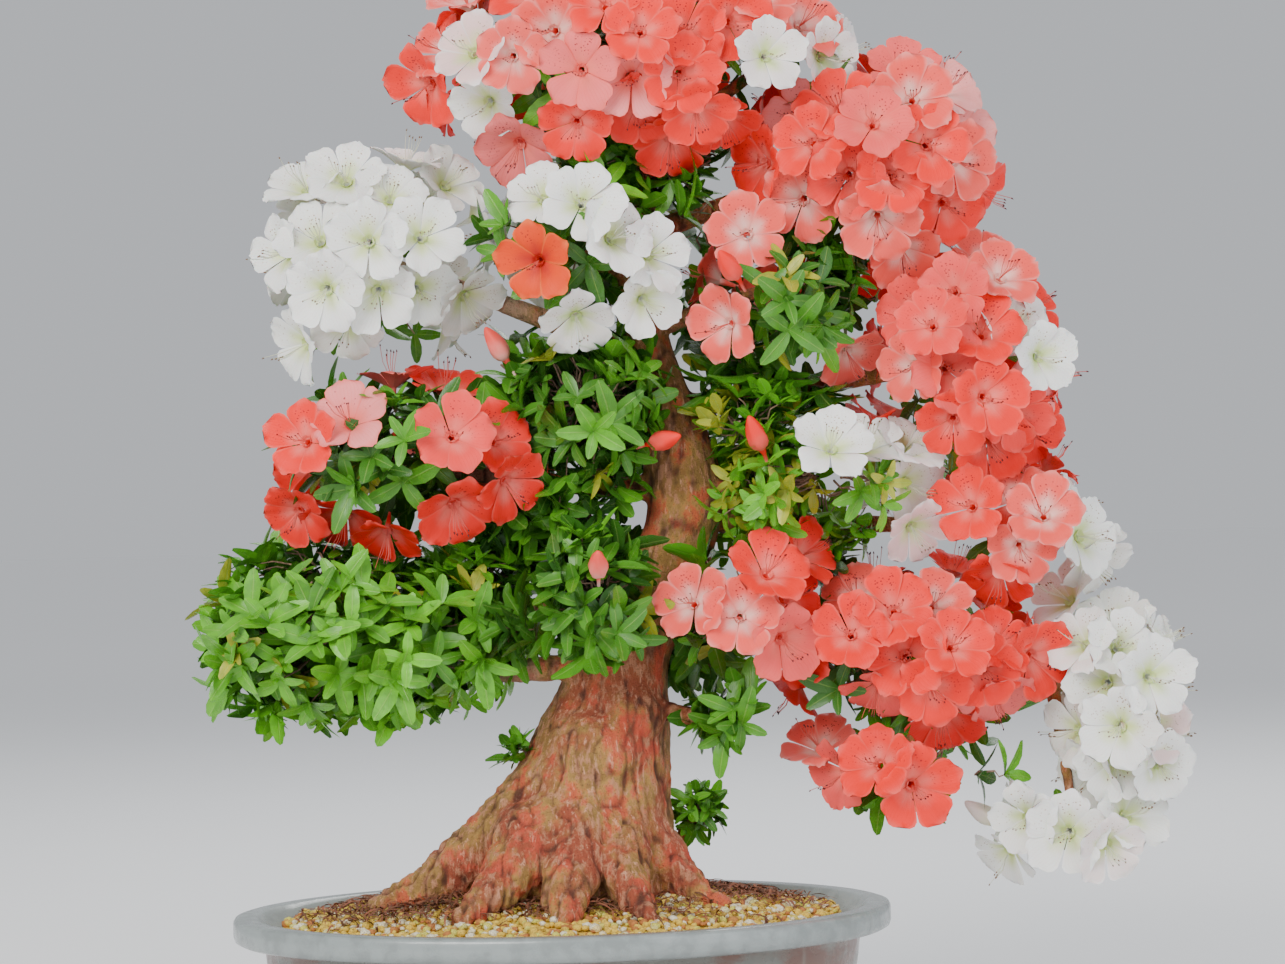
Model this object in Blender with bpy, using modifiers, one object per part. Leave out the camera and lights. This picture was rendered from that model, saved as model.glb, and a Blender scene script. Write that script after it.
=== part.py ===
"""Satsuki azalea bonsai in full bloom: an oval glazed pot, its bed of gravelly soil, the trunk with its
spreading roots and branches, and round it the leafy sprays and the bunches of coral, pink and white blooms.

Metres, +Z up. The origin is the middle of the pot's underside, and the front of the tree looks along -Y.
"""

import math
import random

import bmesh
import bpy
from mathutils import Matrix, Vector
from mathutils.bvhtree import BVHTree
from mathutils.geometry import closest_point_on_tri

CM = 0.01
MM = 0.001
GAP = 0.35 * MM
CLEARANCE = 0.3 * MM
SEED = 11

# The pot: an oval of POT_LENGTH by POT_LENGTH * OVAL.
POT_LENGTH = 0.44
OVAL = 0.75
POT_HEIGHT = 0.105
FOOT_HEIGHT = 0.010
BASE_THICKNESS = 0.009
LIP_OVERHANG = 0.022
LIP_HEIGHT = 0.017
WALL = 0.011
POT_SIDES = 24
SOIL_TOP_EDGE = 0.099
SOIL_CROWN = 0.121

# The eye from which the front of the crown is laid out.
EYE = Vector((0.061, -2.4, 0.387))

LEAF_LENGTH = 0.029
LEAF_WIDTH = 0.0125
BLOOM_RADIUS = 0.029
CORE_SHARE = 0.47
SEAT = 0.5 * MM
CRUST = 3.9 * MM
SEAM = 2.2 * MM
STEM_RADIUS = 1.3 * MM

BARK_VOXEL = 2.4 * MM
BARK_TRIANGLES = 1150
TREE_FOOT = 0.106

GLAZE = (0.30, 0.36, 0.36)
GRAVEL = (0.62, 0.52, 0.22)
BARK = (0.42, 0.21, 0.13)
LEAF = (0.10, 0.30, 0.04)
COLOURS = {
    "coral": (0.90, 0.16, 0.10),
    "pink": (0.92, 0.38, 0.34),
    "orange": (0.85, 0.22, 0.05),
    "white": (0.85, 0.87, 0.82),
}

# The trunk's line, and each root's and branch's, as (x, y, z, radius) in centimetres.
TRUNK = (
    (0.8, 0.0, 9.5, 6.6), (1.2, 0.0, 13.5, 6.6), (1.9, 0.0, 17.5, 5.6), (3.2, 0.4, 21.8, 4.3),
    (4.1, 0.5, 25.4, 3.5), (4.7, 0.2, 28.2, 3.0), (6.8, -0.5, 31.6, 2.6), (9.0, -0.8, 35.5, 2.4),
    (8.9, -0.5, 39.4, 2.6), (7.8, 0.3, 42.9, 2.2), (6.2, 0.8, 48.0, 1.7), (6.0, 0.5, 54.0, 1.3),
    (6.8, 0.0, 60.0, 0.9), (6.6, 0.0, 65.0, 0.6),
)
ROOTS = (
    ((-0.5, -1.0, 18.0, 3.0), (-4.6, -1.6, 14.6, 2.5), (-8.4, -2.0, 12.0, 1.5), (-12.6, -2.4, 10.8, 0.7)),
    ((0.6, -2.6, 17.0, 2.8), (-2.8, -5.6, 13.8, 2.2), (-4.8, -7.6, 11.4, 1.2), (-6.6, -9.0, 10.6, 0.7)),
    ((1.8, -3.4, 16.6, 2.6), (0.6, -6.6, 13.4, 2.1), (0.2, -8.8, 11.2, 1.2), (0.8, -10.2, 10.4, 0.7)),
    ((3.4, -2.8, 16.6, 2.4), (4.2, -5.8, 13.2, 1.8), (4.8, -8.0, 11.2, 1.1), (6.0, -9.6, 10.4, 0.6)),
    ((4.6, -1.0, 16.6, 2.4), (7.0, -2.6, 13.0, 1.7), (8.8, -3.6, 11.2, 1.0), (11.0, -4.2, 10.5, 0.6)),
    ((4.2, 2.6, 16.0, 2.4), (7.0, 4.8, 12.8, 1.7), (9.0, 6.6, 10.9, 0.9)),
    ((1.4, 3.2, 16.0, 2.6), (1.2, 7.0, 12.8, 1.8), (0.2, 9.4, 10.8, 0.9)),
    ((-1.0, 2.4, 16.4, 2.6), (-5.0, 5.4, 13.0, 1.8), (-7.8, 7.4, 10.9, 0.9)),
)
BURRS = ((-2.2, -4.0, 15.6, 2.3), (1.6, -4.0, 16.2, 2.4), (2.6, -1.6, 20.6, 3.6), (4.6, -1.2, 23.2, 2.6))
BRANCHES = {
    "low_left": (
        (4.0, 0.0, 26.4, 1.1), (-0.5, -2.0, 27.0, 0.75), (-6.5, -3.0, 25.4, 0.6), (-14.0, -1.5, 27.4, 0.45)),
    "low_left_upper": ((4.6, 0.0, 29.4, 0.9), (-1.5, -0.5, 30.4, 0.6), (-8.0, 0.5, 30.8, 0.45)),
    "middle_left": (
        (8.6, -0.6, 38.2, 1.0), (2.0, -0.8, 38.4, 0.6), (-4.0, -1.0, 39.2, 0.55), (-11.0, -1.0, 40.6, 0.4)),
    "upper_left": ((6.4, 0.8, 47.0, 0.9), (-2.0, 0.4, 50.6, 0.65), (-11.0, 0.0, 54.0, 0.4)),
    "upper_middle": ((6.0, 0.5, 52.4, 0.7), (2.6, -2.6, 54.0, 0.45)),
    "crown_left": ((6.8, 0.0, 60.2, 0.6), (0.0, 0.0, 64.6, 0.4)),
    "crown_right": ((6.8, 0.0, 60.6, 0.6), (14.0, 0.0, 65.6, 0.4)),
    "right_top": ((6.2, 0.2, 55.0, 0.8), (14.0, 0.2, 57.8, 0.6), (22.0, 0.0, 60.0, 0.4)),
    "right_inner": ((6.2, 0.6, 48.4, 0.7), (11.0, -1.4, 50.4, 0.55), (16.0, -2.0, 51.5, 0.4)),
    "right_middle": ((7.6, 0.4, 43.4, 0.9), (17.0, 0.8, 44.8, 0.65), (27.0, 0.0, 46.0, 0.45)),
    "right_leafy": ((8.8, -0.8, 38.0, 0.8), (13.0, -2.4, 38.0, 0.55), (17.6, -3.0, 38.6, 0.4)),
    "right_low": ((8.6, -0.2, 36.2, 0.9), (19.0, 2.2, 35.6, 0.65), (30.5, 0.6, 35.0, 0.4)),
    "low_right": (
        (6.6, -0.2, 31.0, 1.1), (13.0, 0.4, 28.4, 0.85), (22.0, -0.6, 27.4, 0.65), (36.6, 0.0, 24.0, 0.4)),
    "low_right_fork": ((6.6, -1.0, 31.4, 0.8), (9.4, -3.0, 30.6, 0.55), (11.6, -4.2, 30.0, 0.4)),
    "under_right": ((20.0, -0.6, 27.6, 0.6), (24.0, -0.6, 19.8, 0.4)),
    "cascade": ((33.0, 0.0, 24.6, 0.5), (33.8, -0.4, 19.4, 0.4), (34.2, -0.4, 15.6, 0.35)),
    "inner_leafy": ((7.8, 0.2, 43.4, 0.7), (3.3, -2.0, 44.0, 0.4)),
    "front_leafy": ((4.8, -1.6, 28.4, 0.7), (3.4, -6.0, 31.4, 0.4)),
    "first_right": ((4.6, -1.0, 24.6, 0.8), (7.8, -1.8, 23.0, 0.6), (12.4, -2.0, 22.6, 0.4)),
    "root_sprout": ((6.8, 2.6, 12.6, 0.5), (9.4, 2.0, 16.4, 0.3)),
}

# Each spray's middle and half sizes in centimetres, and how many whorls of leaves stand on it.
SPRAYS = {
    "low_left": ((-13.4, -1.0, 28.8), (12.6, 9.5, 6.0), 25),
    "middle_left": ((-9.6, -1.0, 41.0), (9.4, 8.0, 5.6), 7),
    "upper_left": ((-11.0, 0.0, 54.0), (7.4, 7.0, 6.6), 5),
    "upper_middle": ((2.0, -2.6, 54.2), (7.0, 8.0, 6.2), 4),
    "crown": ((6.2, 0.0, 66.6), (14.0, 10.5, 7.2), 12),
    "right_top": ((21.6, 0.0, 59.6), (7.8, 8.5, 7.4), 5),
    "right_inner": ((15.6, -3.0, 50.8), (5.6, 7.0, 5.0), 5),
    "right_middle": ((27.0, 0.0, 46.2), (6.6, 8.0, 7.4), 3),
    "right_leafy": ((17.8, -3.6, 38.8), (6.6, 7.0, 4.2), 8),
    "right_low": ((30.8, 0.4, 35.2), (5.2, 6.6, 4.6), 3),
    "low_right": ((23.4, -0.6, 27.4), (9.0, 7.4, 5.2), 5),
    "low_right_fork": ((12.4, -4.0, 30.2), (5.0, 5.0, 4.6), 4),
    "under_right": ((24.6, -0.6, 19.4), (7.6, 5.6, 3.6), 7),
    "cascade": ((37.0, 0.0, 23.4), (4.4, 6.4, 7.0), 2),
    "cascade_foot": ((34.2, -0.4, 15.6), (4.4, 4.6, 3.2), 3),
    "inner_leafy": ((2.4, -2.4, 43.8), (6.2, 7.6, 5.6), 8),
    "front_leafy": ((3.0, -7.0, 31.6), (4.8, 3.8, 5.4), 7),
    "first_right": ((12.6, -2.0, 22.9), (4.6, 4.6, 2.9), 5),
    "root_sprout": ((9.4, 2.0, 16.6), (2.8, 2.8, 2.9), 4),
}
# The sprays that a branch ends at. The wood passes through the others.
SPRAYS_AT_ENDS = (
    "low_left", "middle_left", "upper_left", "right_top", "right_inner", "right_middle", "right_leafy",
    "right_low", "low_right_fork", "under_right", "cascade_foot", "first_right", "root_sprout", "front_leafy",
)

# The blooms that face the viewer, as (x, z) in centimetres in the plane of the trunk, by spray and colour.
BLOOMS = {
    ("upper_left", "white"): (
        (-13.3, 59.8), (-10.1, 58.9), (-6.1, 59.3), (-15.5, 56.0), (-11.9, 55.3), (-8.2, 55.6),
        (-14.7, 52.0), (-11.3, 51.5), (-7.9, 51.6), (-17.0, 48.2), (-13.7, 48.6)),
    ("middle_left", "coral"): (
        (-16.7, 42.3), (-13.7, 44.1), (-6.4, 42.3), (-2.9, 42.1), (-6.3, 36.8), (-17.1, 36.8),
        (-14.4, 35.8), (-11.1, 35.6), (-6.7, 46.6)),
    ("upper_middle", "white"): ((2.6, 57.6), (5.3, 55.3), (7.3, 54.1), (6.5, 50.8), (2.1, 49.3)),
    ("upper_middle", "orange"): ((-0.6, 53.6),),
    ("crown", "coral"): (
        (-8.1, 65.5), (2.7, 66.3), (5.9, 65.5), (9.4, 66.0), (6.9, 68.9), (10.3, 69.1), (2.3, 62.7),
        (8.6, 60.9), (10.3, 63.3), (12.9, 69.1), (-0.7, 72.8), (3.3, 73.4), (7.3, 73.4), (-1.7, 61.3)),
    ("crown", "pink"): (
        (-7.5, 68.3), (-2.1, 67.5), (0.3, 69.5), (-4.7, 71.6), (11.3, 72.8), (14.9, 71.2), (18.3, 69.8)),
    ("crown", "white"): ((-4.9, 68.1), (-4.4, 63.6), (14.9, 67.3), (19.4, 66.8)),
    ("right_top", "coral"): (
        (24.3, 66.5), (16.6, 63.6), (19.6, 63.6), (18.5, 61.0), (22.1, 62.5), (25.6, 60.7), (20.3, 59.3),
        (23.1, 59.1), (27.6, 56.7), (23.3, 51.8)),
    ("right_top", "pink"): (
        (27.4, 64.4), (28.6, 62.0), (24.7, 63.6), (27.8, 59.6), (14.3, 56.9), (16.9, 57.1), (22.3, 55.5),
        (23.9, 53.6)),
    ("right_inner", "pink"): ((11.6, 49.1), (20.4, 46.4)),
    ("right_middle", "pink"): ((29.6, 53.4), (30.7, 51.4), (24.2, 46.0)),
    ("right_middle", "coral"): (
        (27.1, 50.8), (29.1, 48.8), (25.8, 48.7), (27.4, 45.3), (29.1, 44.0), (30.7, 42.5), (32.4, 41.5),
        (29.9, 40.8), (32.6, 43.9), (26.9, 42.0)),
    ("right_middle", "white"): ((31.9, 49.1), (32.7, 46.4)),
    ("right_leafy", "white"): ((21.4, 42.2), (24.3, 40.8), (24.9, 38.0), (24.4, 34.9)),
    ("right_low", "pink"): ((30.1, 38.1), (32.5, 36.1), (31.4, 33.5)),
    ("right_low", "coral"): ((28.4, 36.9), (29.6, 31.4)),
    ("right_low", "white"): ((35.6, 34.3), (36.4, 32.4)),
    ("low_right_fork", "pink"): ((8.9, 30.8), (12.3, 29.6)),
    ("low_right_fork", "coral"): ((14.5, 32.7), (15.6, 27.6), (17.2, 33.9)),
    ("low_right", "pink"): ((19.9, 31.6), (25.4, 30.8)),
    ("low_right", "coral"): (
        (19.8, 28.3), (22.8, 29.5), (23.4, 26.8), (24.9, 24.7), (25.8, 22.0), (28.9, 25.3), (32.0, 26.3),
        (26.6, 27.5), (30.4, 28.0)),
    ("under_right", "pink"): ((17.2, 21.3),),
    ("under_right", "coral"): ((21.3, 19.6), (23.6, 17.8)),
    ("cascade", "white"): (
        (34.1, 30.2), (36.9, 29.9), (34.9, 27.4), (38.1, 27.0), (36.3, 24.4), (39.6, 24.8), (37.3, 21.6),
        (40.2, 21.8), (40.0, 18.9), (37.2, 18.6)),
    ("cascade_foot", "white"): ((38.2, 15.8), (36.3, 13.8), (31.4, 15.3), (33.6, 14.5), (29.0, 12.4)),
}
# The blooms on each spray's far side, drawn by a seeded rule: colour and how many.
BACK_BLOOMS = {
    "upper_left": ("white", 2), "middle_left": ("coral", 3), "upper_middle": ("white", 2),
    "crown": ("coral", 6), "right_top": ("coral", 3), "right_inner": ("pink", 1),
    "right_middle": ("coral", 2), "right_low": ("pink", 1),
    "low_right": ("coral", 3), "cascade": ("white", 2),
}


def material(name, colour, roughness=0.6):
    """The plain material of one sub-part."""
    made = bpy.data.materials.new(name)
    made.use_nodes = True
    shader = made.node_tree.nodes["Principled BSDF"]
    shader.inputs["Base Color"].default_value = (*colour, 1.0)
    shader.inputs["Roughness"].default_value = roughness
    return made


def link(obj, collection, surface=None):
    collection.objects.link(obj)
    if surface is not None:
        obj.data.materials.clear()
        obj.data.materials.append(surface)
    return obj


def mesh_object(name, bm, collection, surface=None):
    """A mesh object from a bmesh, which is freed."""
    mesh = bpy.data.meshes.new(name)
    bm.to_mesh(mesh)
    bm.free()
    return link(bpy.data.objects.new(name, mesh), collection, surface)


def applied(obj):
    """Puts the object's evaluated mesh, in world space, in place of its mesh and modifiers."""
    bpy.context.view_layer.update()
    graph = bpy.context.evaluated_depsgraph_get()
    mesh = bpy.data.meshes.new_from_object(obj.evaluated_get(graph), depsgraph=graph)
    mesh.transform(obj.matrix_world)
    obj.modifiers.clear()
    obj.data = mesh
    obj.matrix_world = Matrix.Identity(4)
    return obj


def boolean(obj, other, operation, solver="MANIFOLD"):
    """One Boolean with an object or a whole collection, applied."""
    modifier = obj.modifiers.new(operation, "BOOLEAN")
    modifier.operation = operation
    modifier.solver = solver
    if isinstance(other, bpy.types.Collection):
        modifier.operand_type = "COLLECTION"
        modifier.collection = other
    else:
        modifier.object = other
    return applied(obj)


def remove(objects):
    for obj in list(objects):
        bpy.data.objects.remove(obj)


def tube(name, points, collection, sides=2, smooth=True):
    """A tapering tube through (x, y, z, radius) points in centimetres, as a closed mesh."""
    curve = bpy.data.curves.new(name, "CURVE")
    curve.dimensions = "3D"
    curve.bevel_depth = CM
    curve.bevel_resolution = sides
    curve.use_fill_caps = True
    spline = curve.splines.new("NURBS" if smooth else "POLY")
    spline.points.add(len(points) - 1)
    for point, (x, y, z, radius) in zip(spline.points, points):
        point.co = (x * CM, y * CM, z * CM, 1.0)
        point.radius = radius
    if smooth:
        spline.order_u = min(4, len(points))
        spline.use_endpoint_u = True
        curve.resolution_u = 6
    holder = link(bpy.data.objects.new(name, curve), collection)
    bpy.context.view_layer.update()
    graph = bpy.context.evaluated_depsgraph_get()
    mesh = bpy.data.meshes.new_from_object(holder.evaluated_get(graph), depsgraph=graph)
    bpy.data.objects.remove(holder)
    bm = bmesh.new()
    bm.from_mesh(mesh)
    bmesh.ops.remove_doubles(bm, verts=bm.verts, dist=0.05 * MM)
    bmesh.ops.recalc_face_normals(bm, faces=bm.faces)
    return mesh_object(name, bm, collection)


def turned(name, profile, collection, surface=None):
    """A profile of (radius, height) turned into a round solid, then drawn in to the pot's oval."""
    bm = bmesh.new()
    corners = [bm.verts.new((radius, 0.0, height)) for radius, height in profile]
    for first, second in zip(corners, corners[1:]):
        bm.edges.new((first, second))
    obj = mesh_object(name, bm, collection, surface)
    screw = obj.modifiers.new("turn", "SCREW")
    screw.steps = screw.render_steps = POT_SIDES
    screw.use_merge_vertices = True
    screw.merge_threshold = 0.05 * MM
    obj.scale = (1.0, OVAL, 1.0)
    return applied(obj)


def wall_radius(height):
    """The pot's outer half length at a height, under its lip."""
    foot, top = POT_LENGTH / 2 - LIP_OVERHANG - 0.020, POT_LENGTH / 2 - LIP_OVERHANG
    share = (height - FOOT_HEIGHT) / (POT_HEIGHT - LIP_HEIGHT - FOOT_HEIGHT)
    return foot + (top - foot) * math.sin(min(max(share, 0.0), 1.0) * math.pi / 2)


def build_pot(parts, helpers, surface):
    """The glazed oval pot with its lip, four feet and a middle pad under its base."""
    floor = FOOT_HEIGHT + BASE_THICKNESS
    outer = POT_LENGTH / 2
    under_lip = POT_HEIGHT - LIP_HEIGHT
    inside = [(wall_radius(h) - WALL, h) for h in (floor + 0.006, 0.050, under_lip)]
    outside = [(wall_radius(h), h) for h in (under_lip - 0.003, 0.046, FOOT_HEIGHT + 0.003)]
    profile = [
        (0.0, floor), (inside[0][0] - 0.008, floor), *inside,
        (outer - 0.017, POT_HEIGHT), (outer - 0.001, POT_HEIGHT),
        (outer - 0.002, under_lip), *outside, (outside[-1][0] - 0.006, FOOT_HEIGHT), (0.0, FOOT_HEIGHT),
    ]
    pot = turned("pot", profile, parts, surface)
    feet = bpy.data.collections.new("feet")
    helpers.children.link(feet)
    places = [(sx * 0.125, sy * 0.070, 0.032) for sx in (-1, 1) for sy in (-1, 1)] + [(0.0, 0.0, 0.024)]
    for x, y, radius in places:
        bm = bmesh.new()
        place = Matrix.Translation((x, y, FOOT_HEIGHT / 2 + 0.002)) @ Matrix.Diagonal((1.0, 0.7, 1.0, 1.0))
        bmesh.ops.create_cone(bm, cap_ends=True, segments=8, radius1=radius, radius2=radius + 0.003,
                              depth=FOOT_HEIGHT + 0.004, matrix=place)
        mesh_object("foot", bm, feet)
    boolean(pot, feet, "UNION")
    remove(feet.objects)
    return pot


def build_soil(parts, surface, tree_cutter):
    """The mounded bed of soil, pebbled on top, with a plain hole where the trunk and roots stand."""
    floor = FOOT_HEIGHT + BASE_THICKNESS + GAP
    draw = random.Random(SEED)
    steps = 3
    inner = [(wall_radius(h) - WALL - 2 * GAP, h) for h in (floor + 0.007, 0.050)]
    edge = (wall_radius(POT_HEIGHT) - WALL - 2 * GAP, SOIL_TOP_EDGE - 0.004)
    top = []
    for step in range(steps + 1):
        share = step / steps
        height = SOIL_TOP_EDGE + (SOIL_CROWN - SOIL_TOP_EDGE) * math.cos((1 - share) * math.pi / 2) ** 1.3
        top.append(((edge[0] - 0.004) * (1 - share), height))
    profile = [*reversed(top), edge, *reversed(inner), (inner[0][0] - 0.010, floor), (0.0, floor)]
    soil = turned("soil", profile, parts, surface)
    for vertex in soil.data.vertices:
        if vertex.co.z > SOIL_TOP_EDGE - 1 * MM and vertex.co.xy.length > 5 * MM:
            vertex.co.z += draw.uniform(-1.6, 1.6) * MM
            vertex.co.x += draw.uniform(-1.2, 1.2) * MM
            vertex.co.y += draw.uniform(-1.2, 1.2) * MM
    return boolean(soil, tree_cutter, "DIFFERENCE")


def build_tree(parts, helpers, surface):
    """Trunk, roots and branches grown together: tubes and burrs fused by a voxel remesh and thinned out."""
    pieces = [tube("trunk", TRUNK, helpers, sides=4)]
    pieces += [tube("root", root, helpers, sides=3) for root in ROOTS]
    pieces += [tube(name, branch, helpers, sides=2) for name, branch in BRANCHES.items()]
    joined = bmesh.new()
    for piece in pieces:
        joined.from_mesh(piece.data)
    for x, y, z, radius in BURRS:
        place = Matrix.Translation((x * CM, y * CM, z * CM))
        bmesh.ops.create_icosphere(joined, subdivisions=2, radius=radius * CM, matrix=place)
    remove(pieces)
    tree = mesh_object("trunk", joined, parts, surface)
    remesh = tree.modifiers.new("fuse", "REMESH")
    remesh.mode = "VOXEL"
    remesh.voxel_size = BARK_VOXEL
    smooth = tree.modifiers.new("smooth", "SMOOTH")
    smooth.factor = 0.5
    smooth.iterations = 3
    applied(tree)
    faces = sum(len(polygon.vertices) - 2 for polygon in tree.data.polygons)
    thin = tree.modifiers.new("thin", "DECIMATE")
    thin.ratio = BARK_TRIANGLES / faces
    applied(tree)
    bm = bmesh.new()
    bmesh.ops.create_cube(bm, size=1.0, matrix=Matrix.Translation((0.0, 0.0, TREE_FOOT - 0.5)))
    below = mesh_object("below", bm, helpers)
    boolean(tree, below, "DIFFERENCE")
    bpy.data.objects.remove(below)
    return tree


def swollen(obj, by, collection):
    """A copy grown by that much, to cut a clear socket with."""
    copy = link(bpy.data.objects.new(obj.name + "_socket", obj.data.copy()), collection)
    copy.display_type = "WIRE"
    bm = bmesh.new()
    bm.from_mesh(copy.data)
    bm.normal_update()
    shifts = [vertex.normal * by for vertex in bm.verts]
    for vertex, shift in zip(bm.verts, shifts):
        vertex.co += shift
    bm.to_mesh(copy.data)
    bm.free()
    return copy


def tree_of(mesh):
    """The search tree of a mesh in world space."""
    bm = bmesh.new()
    bm.from_mesh(mesh)
    bmesh.ops.triangulate(bm, faces=bm.faces)
    found = BVHTree.FromBMesh(bm)
    bm.free()
    return found


def steep(spray, point):
    """The outward direction of a spray's oval at a point."""
    middle, half, _ = SPRAYS[spray]
    away = Vector([(point[k] / CM - middle[k]) / half[k] ** 2 for k in range(3)])
    return away.normalized()


def depth_in(spray, point):
    """How far from a spray's middle a point is: 1 on its outside."""
    middle, half, _ = SPRAYS[spray]
    return Vector([(point[k] / CM - middle[k]) / half[k] for k in range(3)]).length


def on_front(spray, x, z):
    """The point of a spray's near side that is seen from EYE at (x, z) of the trunk's plane."""
    middle, half, _ = SPRAYS[spray]
    target = Vector((x * CM, 0.0, z * CM))
    way = target - EYE
    a = Vector([way[k] / CM / half[k] for k in range(3)])
    b = Vector([(EYE[k] / CM - middle[k]) / half[k] for k in range(3)])
    square, cross, rest = a.dot(a), a.dot(b), b.dot(b) - 1.0
    inside = cross * cross - square * rest
    share = (-cross - math.sqrt(max(inside, 0.0))) / square
    return EYE + way * share


def spread(count, turn=0.0):
    """Directions spread evenly over a ball."""
    golden = math.pi * (3.0 - math.sqrt(5.0))
    for k in range(count):
        height = 1.0 - 2.0 * (k + 0.5) / count
        round_ = math.sqrt(1.0 - height * height)
        yield Vector((round_ * math.cos(golden * k + turn), round_ * math.sin(golden * k + turn), height))


def frame_at(place, out, turn):
    """A matrix that stands at place with its Z along out, turned about it."""
    stand = out.to_track_quat("Z", "Y").to_matrix().to_4x4()
    return Matrix.Translation(place) @ stand @ Matrix.Rotation(turn, 4, "Z")


def star(outline, throat, neck, place, foot):
    """A closed star on a three-sided stem, from its outline, its hollow's depth, its neck and its foot."""
    bm = bmesh.new()
    count = len(outline)
    rim = [bm.verts.new(place @ Vector(point)) for point in outline]
    face = bm.verts.new(place @ Vector((0.0, 0.0, throat)))
    turns = [2 * math.pi * k / 3 for k in range(3)]
    corners = [Vector((math.cos(turn), math.sin(turn), 0.0)) for turn in turns]
    stand = place.to_3x3()
    ends = [bm.verts.new(foot + stand @ corner * STEM_RADIUS) for corner in corners]
    ring = [bm.verts.new(place @ (corner * STEM_RADIUS + Vector((0.0, 0.0, neck)))) for corner in corners]
    for first in range(count):
        second = (first + 1) % count
        bm.faces.new((rim[first], rim[second], face))
        near, after = (round(k * 3 / count) % 3 for k in (first, first + 1))
        bm.faces.new((rim[second], rim[first], ring[near]))
        if near != after:
            bm.faces.new((rim[second], ring[near], ring[after]))
    for first in range(3):
        second = (first + 1) % 3
        bm.faces.new((ring[second], ring[first], ends[first]))
        bm.faces.new((ring[second], ends[first], ends[second]))
    bm.faces.new(reversed(ends))
    bmesh.ops.recalc_face_normals(bm, faces=bm.faces)
    return bm


def bloom(place, radius, foot, draw):
    """One open bloom on its stalk: five broad lobes flaring from a funnel, three points to a lobe."""
    outline = []
    for lobe in range(5):
        middle = 2 * math.pi * lobe / 5
        lift = draw.uniform(-1.5, 2.5) * MM
        reach = radius * draw.uniform(0.95, 1.05)
        for turn, out, up in ((-0.628, 0.58, -3.0 * MM), (-0.27, 1.0, 0.0), (0.27, 1.0, 0.0)):
            angle = middle + turn
            rise = up + (lift if out > 0.6 else 0.0)
            outline.append((reach * out * math.cos(angle), reach * out * math.sin(angle), rise))
    return star(outline, -7.0 * MM, -10.0 * MM, place, foot)


def whorl(place, length, foot, draw):
    """A shoot's end: four broad leaves round its tip, each with two shoulders and a point."""
    outline = []
    for leaf in range(4):
        middle = math.pi / 2 * leaf + draw.uniform(-0.12, 0.12)
        lift = math.radians(draw.uniform(8, 42))
        reach = length * draw.uniform(0.84, 1.06)
        across = math.atan2(LEAF_WIDTH / 2, reach * 0.5)
        for turn, out in ((-math.pi / 4, 0.14), (-across, 0.58), (0.0, 1.0), (across, 0.58)):
            angle, flat = middle + turn, reach * out * math.cos(lift)
            rise = reach * out * math.sin(lift) if out > 0.2 else 0.0
            outline.append((flat * math.cos(angle), flat * math.sin(angle), rise))
    return star(outline, 0.8 * MM, -3.0 * MM, place, foot)


class Crown:
    """What stands where, so that a new piece can be kept clear of the other nodes' pieces."""

    def __init__(self, helpers):
        self.helpers = helpers
        self.taken = []

    def collection(self, node):
        """The collection of the pieces that will be fused into a node."""
        if node not in bpy.data.collections:
            self.helpers.children.link(bpy.data.collections.new(node))
        return bpy.data.collections[node]

    def take(self, node, mesh):
        """Notes the room that a piece of a node takes up."""
        points = [vertex.co for vertex in mesh.vertices]
        bounds = Vector(map(min, *points)), Vector(map(max, *points))
        self.taken.append((node, tree_of(mesh), bounds))

    def meets(self, node, bm, by=CLEARANCE):
        """How many pieces of other nodes, and of the same node, a piece grown by the clearance meets."""
        grown = bm.copy()
        grown.normal_update()
        shifts = [vertex.normal * by for vertex in grown.verts]
        for vertex, shift in zip(grown.verts, shifts):
            vertex.co += shift
        low = Vector(map(min, *[v.co for v in grown.verts]))
        high = Vector(map(max, *[v.co for v in grown.verts]))
        mine, bare = BVHTree.FromBMesh(grown), BVHTree.FromBMesh(bm)
        grown.free()
        others, own = 0, 0
        for other, theirs, (bottom, top) in self.taken:
            apart = any(low[k] > top[k] or high[k] < bottom[k] for k in range(3))
            if not apart and (mine.overlap(theirs) or bare.overlap(theirs)):
                others += other != node
                own += other == node
        return others, own

    def add(self, node, bm, name):
        """Puts a piece in its node's collection."""
        obj = mesh_object(name, bm, self.collection(node))
        self.take(node, obj.data)
        return obj


def core_of(spray):
    """A spray's smaller inner body, which its leaves and blooms stand out of."""
    middle, half, _ = SPRAYS[spray]
    inner = [h * CM * CORE_SHARE for h in half]
    bm = bmesh.new()
    bmesh.ops.create_icosphere(bm, subdivisions=2, radius=1.0)
    for vertex in bm.verts:
        vertex.co = Vector([middle[k] * CM + vertex.co[k] * inner[k] for k in range(3)])
    bm.normal_update()
    return bm


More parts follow.
